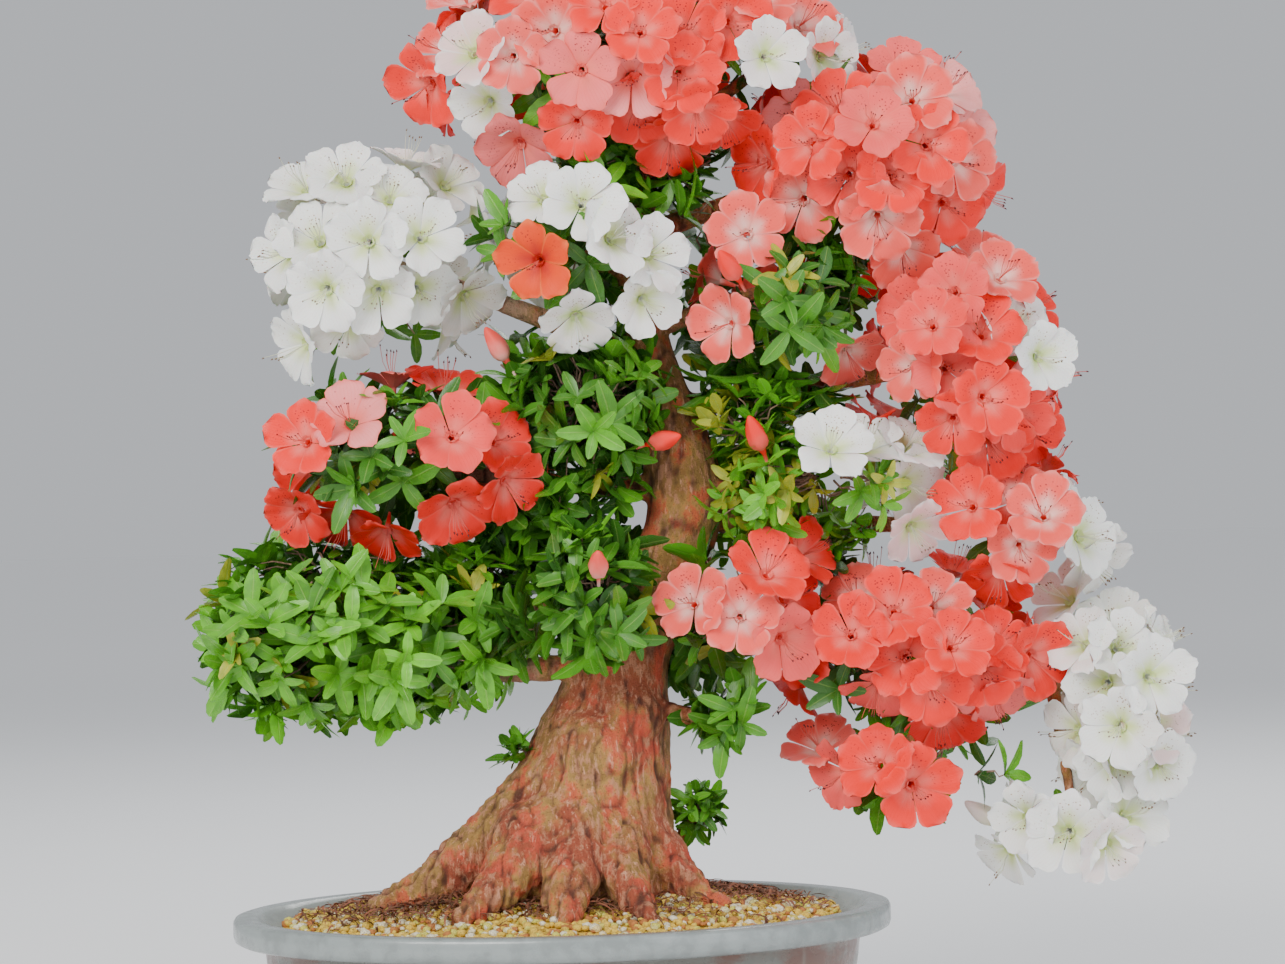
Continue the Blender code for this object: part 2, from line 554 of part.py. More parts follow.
def crust(core, chosen):
    """A bunch's own thin body: a layer over some of a core's faces, drawn in a little at its edges."""
    bm = bmesh.new()
    low, high = {}, {}
    for vertex in core.verts:
        left = [face for face in vertex.link_faces if face.index in chosen]
        whole = len(left) == len(vertex.link_faces)
        while left:
            fan, todo = [], [left[0]]
            while todo:
                face = todo.pop()
                if face in left:
                    left.remove(face)
                    fan.append(face)
                    sides = [edge for edge in face.edges if vertex in edge.verts]
                    todo += [other for edge in sides for other in edge.link_faces if other in left]
            middle = sum((face.calc_center_median() for face in fan), Vector()) / len(fan)
            up = fan[0].normal if len(fan) == 1 else vertex.normal
            inwards = middle - vertex.co
            inwards -= up * inwards.dot(up)
            spot = vertex.co if whole else vertex.co + inwards.normalized() * SEAM
            under = bm.verts.new(spot + up * SEAT)
            over = bm.verts.new(spot + up * CRUST)
            for face in fan:
                low[face.index, vertex.index] = under
                high[face.index, vertex.index] = over
    for index in sorted(chosen):
        face = core.faces[index]
        ids = [vertex.index for vertex in face.verts]
        bm.faces.new([high[index, k] for k in ids])
        bm.faces.new([low[index, k] for k in reversed(ids)])
        for edge in face.edges:
            if all(other.index not in chosen for other in edge.link_faces if other != face):
                a, b = (vertex.index for vertex in edge.verts)
                bm.faces.new((high[index, a], high[index, b], low[index, b]))
                bm.faces.new((high[index, a], low[index, b], low[index, a]))
    bmesh.ops.recalc_face_normals(bm, faces=bm.faces)
    return bm


def on_crust(core, index, place):
    """The point in the crust over a face that is nearest a place, kept well in from the face's edges."""
    face = core.faces[index]
    middle = face.calc_center_median()
    corners = [vertex.co.lerp(middle, 0.45) for vertex in face.verts]
    return closest_point_on_tri(place, *corners) + face.normal * (SEAT + CRUST) / 2


def bloom_places(spray, colour, fixed):
    """(place, direction, radius) of a spray's blooms of one colour: the front ones, then the far side's."""
    draw = random.Random(f"{SEED} blooms {spray} {colour}")
    placed = []
    for x, z in fixed:
        place = on_front(spray, x, z)
        out = steep(spray, place)
        to_eye = (EYE - place).normalized()
        facing = (out * 0.75 + to_eye * 0.55 + Vector((0.0, 0.0, 0.08))).normalized()
        placed.append((place, facing, BLOOM_RADIUS * draw.uniform(0.90, 1.08)))
    wanted, count = BACK_BLOOMS.get(spray, ("", 0))
    if wanted == colour:
        middle, half, _ = SPRAYS[spray]
        ways = [way for way in spread(60, draw.uniform(0, 6.28)) if way.y > 0.15 and way.z > -0.35]
        for way in draw.sample(ways, len(ways)):
            place = Vector([(middle[k] + way[k] * half[k]) * CM for k in range(3)])
            crowded = any((place - other).length < 1.5 * BLOOM_RADIUS for other, _, _ in placed)
            buried = any(depth_in(other, place) < 0.85 for other in SPRAYS if other != spray)
            if count and not crowded and not buried:
                placed.append((place, steep(spray, place), BLOOM_RADIUS * draw.uniform(0.90, 1.05)))
                count -= 1
    return placed


def way_between(core, start, goals, open_faces):
    """The shortest run of open faces from a face to any of the goals, or None."""
    before, todo = {start: None}, [start]
    while todo:
        index = todo.pop(0)
        if index in goals:
            run = []
            while index is not None:
                run.append(index)
                index = before[index]
            return run
        for edge in core.faces[index].edges:
            for other in edge.link_faces:
                if other.index not in before and other.index in open_faces:
                    before[other.index] = index
                    todo.append(other.index)
    return None


# How far in millimetres a bloom may be pushed out and slid aside, in the order tried.
MOVES = ((0, 0), (4, 0), (8, 0), (0, 7), (4, 7), (8, 7), (12, 0), (12, 9), (16, 9), (-4, 0))


def settle(crown, node, core, faces, wish, draw):
    """A bloom on its stalk, moved or drawn in a little until it is clear of the others, or None."""
    place, facing, radius = wish
    turn = draw.uniform(0.0, 2 * math.pi)
    side = facing.orthogonal().normalized()
    best = None
    for shrink in (1.0, 0.88, 0.76):
        for push, slide in MOVES:
            for quarter in range(4 if slide else 1):
                spot = place + facing * push * MM
                spot += Matrix.Rotation(quarter * math.pi / 2 + turn, 3, facing) @ side * slide * MM
                for index in faces:
                    foot = on_crust(core, index, spot)
                    bm = bloom(frame_at(spot, facing, turn), radius * shrink, foot, random.Random(turn))
                    others, own = crown.meets(node, bm)
                    if others or (best and own >= best[1]):
                        bm.free()
                        continue
                    best = (bm, own)
                    if own <= 1:
                        return bm
    return best[0] if best else None


def drop_scraps(obj):
    """Keeps an object's largest body and drops any loose scrap."""
    bm = bmesh.new()
    bm.from_mesh(obj.data)
    bmesh.ops.triangulate(bm, faces=bm.faces)
    left, shells = set(bm.verts), []
    while left:
        shell, todo = set(), [next(iter(left))]
        while todo:
            vertex = todo.pop()
            if vertex not in shell:
                shell.add(vertex)
                todo += [edge.other_vert(vertex) for edge in vertex.link_edges]
        left -= shell
        shells.append(shell)
    shells.sort(key=len)
    for scrap in shells[:-1]:
        bmesh.ops.delete(bm, geom=list(scrap), context="VERTS")
    bm.to_mesh(obj.data)
    bm.free()


def fuse(node, first, collection, parts, surface):
    """Joins a node's pieces into one body."""
    body = link(bpy.data.objects.new(node, first.data.copy()), parts, surface)
    bpy.data.objects.remove(first)
    if collection.objects:
        boolean(body, collection, "UNION")
        remove(collection.objects)
    body.data.materials.clear()
    body.data.materials.append(surface)
    drop_scraps(body)


def cut_clear(obj, other, helpers):
    """Cuts an object clear of another."""
    cutter = swollen(other, CLEARANCE, helpers)
    boolean(obj, cutter, "DIFFERENCE")
    bpy.data.objects.remove(cutter)


def crosses(first, second):
    return bool(tree_of(first.data).overlap(tree_of(second.data)))


def build_cores(tree, helpers):
    """Each spray's inner body, clear of the others and of the tree, and the shape it was cut from."""
    cores, shapes = {}, {}
    for spray in SPRAYS:
        shapes[spray] = core_of(spray)
        shapes[spray].faces.ensure_lookup_table()
        core = mesh_object("core", shapes[spray].copy(), helpers)
        if spray in SPRAYS_AT_ENDS:
            cut_clear(tree, core, helpers)
            drop_scraps(tree)
        for other in cores.values():
            if crosses(core, other):
                cut_clear(core, other, helpers)
        cores[spray] = core
    socket = swollen(tree, 1.5 * CLEARANCE, helpers)
    for core in cores.values():
        for cutter in (socket, tree):
            if crosses(core, cutter):
                boolean(core, cutter, "DIFFERENCE")
    bpy.data.objects.remove(socket)
    return cores, shapes


def open_faces_of(crown, shapes):
    """The faces of each spray's core on which a crust can lie clear of everything else."""
    open_faces = {}
    for spray, shape in shapes.items():
        open_faces[spray] = set()
        for face in shape.faces:
            layer = crust(shape, {face.index})
            if crown.meets("", layer, 0.1 * MM)[0] == 0:
                open_faces[spray].add(face.index)
            layer.free()
    return open_faces


def wished_blooms():
    """Where the blooms of each spray and colour should open, the smallest bunches first."""
    wanted = {pair: bloom_places(*pair, fixed) for pair, fixed in BLOOMS.items()}
    for spray, (colour, _) in BACK_BLOOMS.items():
        if (spray, colour) not in wanted:
            wanted[spray, colour] = bloom_places(spray, colour, ())
    return {pair: wanted[pair] for pair in sorted(wanted, key=lambda pair: len(wanted[pair]))}


def seats_of(wanted, shapes, open_faces):
    """The face of its core that each bloom stands on. A face serves only one colour."""
    seats = {}
    for (spray, colour), wishes in wanted.items():
        shape, free = shapes[spray], open_faces[spray]
        for k, (place, _, _) in enumerate(wishes):
            if free:
                order = sorted(free)
                seats[spray, colour, k] = min(order, key=lambda i: (on_crust(shape, i, place) - place).length)
        free -= {face for (s, c, _), face in seats.items() if (s, c) == (spray, colour)}
    return seats


def bunches_of(wanted, seats, shapes, open_faces):
    """Each bloom node's spray, its colour, and the faces its crust covers, linked by short runs."""
    bunches = {}
    for spray, colour in wanted:
        shape, free = shapes[spray], open_faces[spray]
        left = sorted({face for (s, c, _), face in seats.items() if (s, c) == (spray, colour)})
        number = 0
        while left:
            number += 1
            patch, left = {left[0]}, left[1:]
            grows = True
            while left and grows:
                runs = [way_between(shape, face, patch, free | set(left) | patch) for face in left]
                runs = [run for run in runs if run]
                grows = bool(runs)
                if runs:
                    patch |= set(min(runs, key=len))
                    left = [face for face in left if face not in patch]
            free -= patch
            bunches[f"{colour}_{spray}" + (f"_{number}" if number > 1 else "")] = (spray, colour, patch)
    return bunches


def lay_crusts(crown, bunches, cores, shapes, helpers):
    """Lays each bunch's crust on its core, clear of the core and of the crusts before it."""
    laid = []
    for node, (spray, _, patch) in bunches.items():
        layer = mesh_object("crust", crust(shapes[spray], patch), crown.collection(node))
        for neighbour in [cores[spray]] + [other for near, other in laid if near == spray]:
            if crosses(layer, neighbour):
                cut_clear(layer, neighbour, helpers)
        crown.take(node, layer.data)
        laid.append((spray, layer))


def open_blooms(crown, bunches, wanted, seats, shapes):
    """Stands every bloom on its bunch's crust, as near its wished place as it is clear of the others."""
    for node, (spray, colour, patch) in bunches.items():
        draw = random.Random(f"{SEED} {node}")
        for k, wish in enumerate(wanted[spray, colour]):
            if seats.get((spray, colour, k)) in patch:
                feet = sorted(patch, key=lambda i: (on_crust(shapes[spray], i, wish[0]) - wish[0]).length)
                found = settle(crown, node, shapes[spray], feet[:2], wish, draw)
                if found:
                    crown.add(node, found, "bloom")


def grow_whorls(crown, cores):
    """Grows each spray's whorls of leaves evenly round its core, wherever they are clear of the blooms."""
    for spray, (middle, half, count) in SPRAYS.items():
        node = "leaves_" + spray
        draw = random.Random(f"{SEED} leaves {spray}")
        core = tree_of(cores[spray].data)
        kept, centre = 0, Vector(middle) * CM
        ways = list(spread(count * 6, draw.uniform(0, 6.28)))
        draw.shuffle(ways)
        for way in ways:
            reach = draw.uniform(0.76, 0.92)
            place = Vector([(middle[k] + way[k] * half[k] * reach) * CM for k in range(3)])
            inwards = (centre - place).normalized()
            hit = core.ray_cast(place, inwards, 0.2)
            if kept >= count or hit[0] is None:
                continue
            out = (steep(spray, place) + Vector((0.0, 0.0, 0.25))).normalized()
            length = LEAF_LENGTH * draw.uniform(0.92, 1.12)
            bm = whorl(frame_at(place, out, draw.uniform(0, 6.28)), length, hit[0] + inwards * 3 * MM, draw)
            others, own = crown.meets(node, bm)
            if others or own > 1:
                bm.free()
                continue
            crown.add(node, bm, "whorl")
            kept += 1


def main():
    for obj in list(bpy.data.objects):
        bpy.data.objects.remove(obj)
    parts = bpy.data.collections.new("satsuki_azalea_bonsai")
    helpers = bpy.data.collections.new("helpers")
    helpers.hide_render = True
    for collection in (parts, helpers):
        bpy.context.scene.collection.children.link(collection)

    build_pot(parts, helpers, material("glaze", GLAZE, 0.3))
    tree = build_tree(parts, helpers, material("bark", BARK, 0.9))
    socket = swollen(tree, CLEARANCE, helpers)
    build_soil(parts, material("gravel", GRAVEL, 0.95), socket)
    bpy.data.objects.remove(socket)

    cores, shapes = build_cores(tree, helpers)
    crown = Crown(helpers)
    for spray, core in cores.items():
        crown.take("leaves_" + spray, core.data)
    crown.take("trunk", tree.data)
    open_faces = open_faces_of(crown, shapes)
    wanted = wished_blooms()
    seats = seats_of(wanted, shapes, open_faces)
    bunches = bunches_of(wanted, seats, shapes, open_faces)
    lay_crusts(crown, bunches, cores, shapes, helpers)
    open_blooms(crown, bunches, wanted, seats, shapes)
    grow_whorls(crown, cores)

    leaf = material("leaf", LEAF)
    for spray, core in cores.items():
        fuse("leaves_" + spray, core, crown.collection("leaves_" + spray), parts, leaf)
    petals = {name: material(name + "_petal", colour) for name, colour in COLOURS.items()}
    for node, (_, colour, _) in bunches.items():
        pieces = crown.collection(node)
        first = pieces.objects[0]
        pieces.objects.unlink(first)
        helpers.objects.link(first)
        fuse(node, first, pieces, parts, petals[colour])


main()
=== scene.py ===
"""The finished look of a satsuki azalea bonsai in full bloom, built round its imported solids.

Metres, +Z up. The front of the tree looks along -Y, at the viewer.
"""

import math
import random

import bmesh
import bpy
import numpy as np
from bpy.props import FloatProperty, FloatVectorProperty, IntProperty, PointerProperty
from mathutils import Matrix, Vector, noise


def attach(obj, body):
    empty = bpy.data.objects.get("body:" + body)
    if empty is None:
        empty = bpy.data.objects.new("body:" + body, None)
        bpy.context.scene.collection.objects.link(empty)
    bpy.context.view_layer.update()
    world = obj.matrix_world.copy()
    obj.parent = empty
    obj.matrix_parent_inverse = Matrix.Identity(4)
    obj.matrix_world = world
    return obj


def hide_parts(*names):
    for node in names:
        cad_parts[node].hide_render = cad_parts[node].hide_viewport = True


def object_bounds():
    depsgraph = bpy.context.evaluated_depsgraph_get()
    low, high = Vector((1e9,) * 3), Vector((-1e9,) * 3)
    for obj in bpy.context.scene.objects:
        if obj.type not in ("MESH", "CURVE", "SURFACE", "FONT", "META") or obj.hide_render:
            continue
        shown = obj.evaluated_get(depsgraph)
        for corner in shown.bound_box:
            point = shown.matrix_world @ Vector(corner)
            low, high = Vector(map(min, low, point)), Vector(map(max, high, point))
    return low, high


bl_info = {
    "name": "Satsuki Azalea Bonsai",
    "version": (1, 0, 0),
    "blender": (4, 5, 0),
    "location": "View3D > Sidebar > Bonsai",
    "description": "Dresses a bonsai azalea with bark, leaves, blooms, gravel and glaze",
    "category": "Object",
}

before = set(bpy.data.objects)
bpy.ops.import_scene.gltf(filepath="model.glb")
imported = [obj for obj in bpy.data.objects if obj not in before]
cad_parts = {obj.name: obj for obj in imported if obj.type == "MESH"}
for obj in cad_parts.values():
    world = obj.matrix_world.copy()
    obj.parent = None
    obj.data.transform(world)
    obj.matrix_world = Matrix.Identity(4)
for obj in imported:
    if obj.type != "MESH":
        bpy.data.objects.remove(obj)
SOLID_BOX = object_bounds()

CM = 0.01
MM = 0.001
SEED = 11
ANY_TURN = (0, 6.28)

POT_LENGTH = 0.44
OVAL = 0.75
POT_HEIGHT = 0.105
FOOT_HEIGHT = 0.010
BASE_THICKNESS = 0.009
LIP_OVERHANG = 0.022
LIP_HEIGHT = 0.017
FOOT_INSET = 0.020
WALL = 0.011
SOIL_TOP_EDGE = 0.099
SOIL_CROWN = 0.121
GROUND_CUT = 0.100
THIN_BARK = 0.12
FEET = ((-0.125, -0.070, 0.032), (-0.125, 0.070, 0.032), (0.125, -0.070, 0.032), (0.125, 0.070, 0.032), (0, 0, 0.024))

EYE = Vector((0.061, -2.4, 0.387))
PHOTO_TILT = math.radians(1.5)

# The trunk's line, and each root's and branch's, as (x, y, z, radius) in centimetres.
TRUNK = (
    (0.8, 0.0, 9.5, 6.6), (1.2, 0.0, 13.5, 6.6), (1.9, 0.0, 17.5, 5.6), (3.2, 0.4, 21.8, 4.3),
    (4.1, 0.5, 25.4, 3.5), (4.7, 0.2, 28.2, 3.0), (6.8, -0.5, 31.6, 2.6), (9.0, -0.8, 35.5, 2.4),
    (8.9, -0.5, 39.4, 2.6), (7.8, 0.3, 42.9, 2.2), (6.2, 0.8, 48.0, 1.7), (6.0, 0.5, 54.0, 1.3),
    (6.8, 0.0, 60.0, 0.9), (6.6, 0.0, 65.0, 0.6),
)
ROOTS = (
    ((-0.5, -1.0, 18.0, 3.0), (-4.6, -1.6, 14.6, 2.5), (-8.4, -2.0, 12.0, 1.5), (-12.6, -2.4, 10.8, 0.7)),
    ((0.6, -2.6, 17.0, 2.8), (-2.8, -5.6, 13.8, 2.2), (-4.8, -7.6, 11.4, 1.2), (-6.6, -9.0, 10.6, 0.7)),
    ((1.8, -3.4, 16.6, 2.6), (0.6, -6.6, 13.4, 2.1), (0.2, -8.8, 11.2, 1.2), (0.8, -10.2, 10.4, 0.7)),
    ((3.4, -2.8, 16.6, 2.4), (4.2, -5.8, 13.2, 1.8), (4.8, -8.0, 11.2, 1.1), (6.0, -9.6, 10.4, 0.6)),
    ((4.6, -1.0, 16.6, 2.4), (7.0, -2.6, 13.0, 1.7), (8.8, -3.6, 11.2, 1.0), (11.0, -4.2, 10.5, 0.6)),
    ((4.2, 2.6, 16.0, 2.4), (7.0, 4.8, 12.8, 1.7), (9.0, 6.6, 10.9, 0.9)),
    ((1.4, 3.2, 16.0, 2.6), (1.2, 7.0, 12.8, 1.8), (0.2, 9.4, 10.8, 0.9)),
    ((-1.0, 2.4, 16.4, 2.6), (-5.0, 5.4, 13.0, 1.8), (-7.8, 7.4, 10.9, 0.9)),
)
BURRS = ((-2.2, -4.0, 15.6, 2.3), (1.6, -4.0, 16.2, 2.4), (2.6, -1.6, 20.6, 3.6), (4.6, -1.2, 23.2, 2.6))
BRANCHES = {
    "low_left": ((4.0, 0.0, 26.4, 1.1), (-0.5, -2.0, 27.0, 0.75), (-6.5, -3.0, 25.4, 0.6), (-14.0, -1.5, 27.4, 0.45)),
    "low_left_upper": ((4.6, 0.0, 29.4, 0.9), (-1.5, -0.5, 30.4, 0.6), (-8.0, 0.5, 30.8, 0.45)),
    "middle_left": (
        (8.6, -0.6, 38.2, 1.0), (2.0, -0.8, 38.4, 0.6), (-4.0, -1.0, 39.2, 0.55), (-11.0, -1.0, 40.6, 0.4)),
    "upper_left": ((6.4, 0.8, 47.0, 0.9), (-2.0, 0.4, 50.6, 0.65), (-11.0, 0.0, 54.0, 0.4)),
    "upper_middle": ((6.0, 0.5, 52.4, 0.7), (2.6, -2.6, 54.0, 0.45)),
    "crown_left": ((6.8, 0.0, 60.2, 0.6), (0.0, 0.0, 64.6, 0.4)),
    "crown_right": ((6.8, 0.0, 60.6, 0.6), (14.0, 0.0, 65.6, 0.4)),
    "right_top": ((6.2, 0.2, 55.0, 0.8), (14.0, 0.2, 57.8, 0.6), (22.0, 0.0, 60.0, 0.4)),
    "right_inner": ((6.2, 0.6, 48.4, 0.7), (11.0, -1.4, 50.4, 0.55), (16.0, -2.0, 51.5, 0.4)),
    "right_middle": ((7.6, 0.4, 43.4, 0.9), (17.0, 0.8, 44.8, 0.65), (27.0, 0.0, 46.0, 0.45)),
    "right_leafy": ((8.8, -0.8, 38.0, 0.8), (13.0, -2.4, 38.0, 0.55), (17.6, -3.0, 38.6, 0.4)),
    "right_low": ((8.6, -0.2, 36.2, 0.9), (19.0, 2.2, 35.6, 0.65), (30.5, 0.6, 35.0, 0.4)),
    "low_right": ((6.6, -0.2, 31.0, 1.1), (13.0, 0.4, 28.4, 0.85), (22.0, -0.6, 27.4, 0.65), (36.6, 0.0, 24.0, 0.4)),
    "low_right_fork": ((6.6, -1.0, 31.4, 0.8), (9.4, -3.0, 30.6, 0.55), (11.6, -4.2, 30.0, 0.4)),
    "under_right": ((20.0, -0.6, 27.6, 0.6), (24.0, -0.6, 19.8, 0.4)),
    "cascade": ((33.0, 0.0, 24.6, 0.5), (33.8, -0.4, 19.4, 0.4), (34.2, -0.4, 15.6, 0.35)),
    "inner_leafy": ((7.8, 0.2, 43.4, 0.7), (3.3, -2.0, 44.0, 0.4)),
    "front_leafy": ((4.8, -1.6, 28.4, 0.7), (3.4, -6.0, 31.4, 0.4)),
    "first_right": ((4.6, -1.0, 24.6, 0.8), (7.8, -1.8, 23.0, 0.6), (12.4, -2.0, 22.6, 0.4)),
    "root_sprout": ((6.8, 2.6, 12.6, 0.5), (9.4, 2.0, 16.4, 0.3)),
}

# Each spray's middle and half sizes in centimetres, how leafy it is, and how young its leaves are.
SPRAYS = {
    "low_left": ((-13.4, -1.0, 28.8), (12.6, 9.5, 6.0), 2.0, 0.62),
    "middle_left": ((-9.6, -1.0, 41.0), (9.4, 8.0, 5.6), 1.3, 0.45),
    "upper_left": ((-11.0, 0.0, 54.0), (7.4, 7.0, 6.6), 1.0, 0.50),
    "upper_middle": ((2.0, -2.6, 54.2), (7.0, 8.0, 6.2), 1.3, 0.45),
    "crown": ((6.2, 0.0, 66.6), (14.0, 10.5, 7.2), 1.0, 0.55),
    "right_top": ((21.6, 0.0, 59.6), (7.8, 8.5, 7.4), 1.0, 0.55),
    "right_inner": ((15.6, -3.0, 50.8), (5.6, 7.0, 5.0), 1.5, 0.40),
    "right_middle": ((27.0, 0.0, 46.2), (6.6, 8.0, 7.4), 0.9, 0.55),
    "right_leafy": ((17.8, -3.6, 38.8), (6.6, 7.0, 4.2), 2.6, 0.95),
    "right_low": ((30.8, 0.4, 35.2), (5.2, 6.6, 4.6), 1.0, 0.60),
    "low_right": ((23.4, -0.6, 27.4), (9.0, 7.4, 5.2), 1.0, 0.45),
    "low_right_fork": ((12.4, -4.0, 30.2), (5.0, 5.0, 4.6), 1.0, 0.40),
    "under_right": ((24.6, -0.6, 19.4), (7.6, 5.6, 3.6), 1.6, 0.55),
    "cascade": ((37.0, 0.0, 23.4), (4.4, 6.4, 7.0), 0.8, 0.60),
    "cascade_foot": ((34.2, -0.4, 15.6), (4.4, 4.6, 3.2), 1.1, 0.70),
    "inner_leafy": ((2.4, -2.4, 43.8), (6.2, 7.6, 5.6), 1.7, 0.42),
    "front_leafy": ((3.0, -7.0, 31.6), (4.8, 3.8, 5.4), 1.5, 0.35),
    "first_right": ((12.6, -2.0, 22.9), (4.6, 4.6, 2.9), 1.5, 0.35),
    "root_sprout": ((9.4, 2.0, 16.6), (2.8, 2.8, 2.9), 1.3, 0.55),
}

# Smaller clumps of leaves that fill the gaps between the sprays, as middles and half sizes in centimetres.
FILLERS = {
    "low_left": (((-15.0, 0.0, 33.4), (7.4, 5.4, 2.8)), ((-5.0, 1.0, 32.4), (5.0, 5.0, 2.8))),
    "right_top": (((12.4, 0.5, 60.2), (4.6, 5.6, 3.8)), ((14.2, -1.0, 57.4), (3.8, 3.8, 2.8))),
    "cascade_foot": (((31.0, -1.0, 20.0), (4.2, 3.6, 3.0)),),
    "cascade": (((35.4, 2.6, 23.6), (4.2, 4.6, 6.0)),),
    "upper_left": (((-4.4, 0.4, 52.6), (2.8, 4.0, 5.0)),),
    "middle_left": (((-3.6, 0.6, 47.4), (3.6, 5.0, 3.2)), ((-2.4, 1.0, 36.6), (4.2, 5.0, 3.0))),
    "upper_middle": (((10.6, 1.0, 56.4), (3.6, 5.5, 4.4)), ((-4.6, 1.0, 59.6), (3.4, 5.0, 3.6)),
                     ((11.4, -3.2, 57.2), (3.4, 3.0, 2.6))),
    "right_inner": (((19.0, 1.6, 45.2), (5.4, 6.0, 2.8)), ((14.6, 4.0, 49.6), (6.4, 5.0, 5.0)),
                    ((14.6, -0.6, 45.4), (5.4, 4.2, 2.8)), ((20.4, -1.6, 45.2), (3.8, 3.4, 2.4))),
    "right_middle": (((20.6, 1.4, 51.4), (4.4, 6.0, 4.4)),),
    "crown": (((6.8, 1.0, 60.6), (8.0, 7.0, 3.4)),),
    "right_leafy": (((12.8, 0.6, 40.0), (3.0, 4.6, 3.4)), ((24.6, 2.0, 39.0), (4.0, 5.6, 4.0)),
                    ((15.4, 1.0, 35.2), (6.4, 5.2, 2.6)), ((21.0, -0.4, 35.2), (4.2, 3.6, 2.4)),
                    ((20.6, -3.0, 37.6), (4.8, 3.6, 3.2)), ((14.6, -5.0, 37.4), (4.8, 3.2, 3.2)),
                    ((13.4, -4.4, 42.2), (4.4, 3.4, 2.8)), ((19.4, -3.4, 41.4), (4.6, 3.4, 2.6))),
    "low_right_fork": (((17.4, 1.0, 33.0), (4.6, 5.6, 2.8)), ((9.6, 1.8, 27.6), (3.4, 4.4, 3.2))),
    "inner_leafy": (((3.4, 5.0, 43.0), (6.0, 4.6, 5.4)), ((1.0, 1.0, 36.0), (3.8, 4.4, 2.6)),
                    ((1.4, -2.0, 38.8), (5.4, 3.4, 2.2)), ((2.4, -1.0, 36.8), (3.4, 3.0, 2.4))),
    "front_leafy": (((-2.6, -4.4, 29.4), (3.4, 4.0, 2.8)), ((4.6, 5.4, 31.4), (5.0, 4.0, 4.4))),
    "low_right": (((29.4, 0.8, 22.0), (4.4, 5.2, 2.6)), ((30.8, -1.6, 20.4), (3.8, 3.2, 2.6)),
                  ((27.4, -2.0, 22.2), (3.4, 3.0, 2.4)), ((30.2, -3.4, 21.0), (4.4, 3.0, 3.0))),
    "under_right": (((16.0, -1.2, 22.8), (4.2, 3.4, 2.4)), ((28.0, -1.4, 19.0), (3.4, 3.0, 2.0))),
    "root_sprout": (((-2.5, -1.0, 20.9), (1.9, 1.9, 1.8)),),
}

# How far in centimetres the shoots of a spray stand inside its edge: the small sprays, and all the others.
SETBACK = {"root_sprout": 1.6, "first_right": 1.5, "cascade_foot": 1.6, "front_leafy": 1.2, "under_right": 1.2}
USUAL_SETBACK = 0.6
# Sprays with smaller leaves than the rest.
SMALLER = {"root_sprout": 0.62, "right_leafy": 0.76}
# How far out shoots stand, as shares of a spray's half sizes: inner, outer and outermost ones, and the whole span.
REACHES = ((0.42, 0.72), (0.70, 0.88), (0.80, 0.95))
REACH_SPAN = 0.53
# How thickly fillers are leaved, the power in the area of an oval, and the share of yellow leaves.
FILLER_DENSITY, OVAL_POWER, TURNING_SHARE = 1.2, 1.6, 0.035
# Shoots keep under the crown's top and this far inside the sides of the solids' box. The outer ones leave hollows.
CAP = 0.722
LEAF_ROOM = 32.5 * MM
HOLLOW_REACH, HOLLOW = 0.74, -0.135
# Shoots too near a bloom are left out. The zones are in metres along its axis, and the clear space beside it is in
# bloom radii: by its stalk, behind its petals, and level with them or before them, in sprays and in fillers.
BLOOM_ZONE = (-0.038, 0.055)
STALK_ZONE, STALK_CLEAR = -0.027, 0.55
PETAL_ZONE, PETAL_CLEAR = -0.004, 0.95
FACE_CLEAR, FILLER_CLEAR = 1.30, 1.1

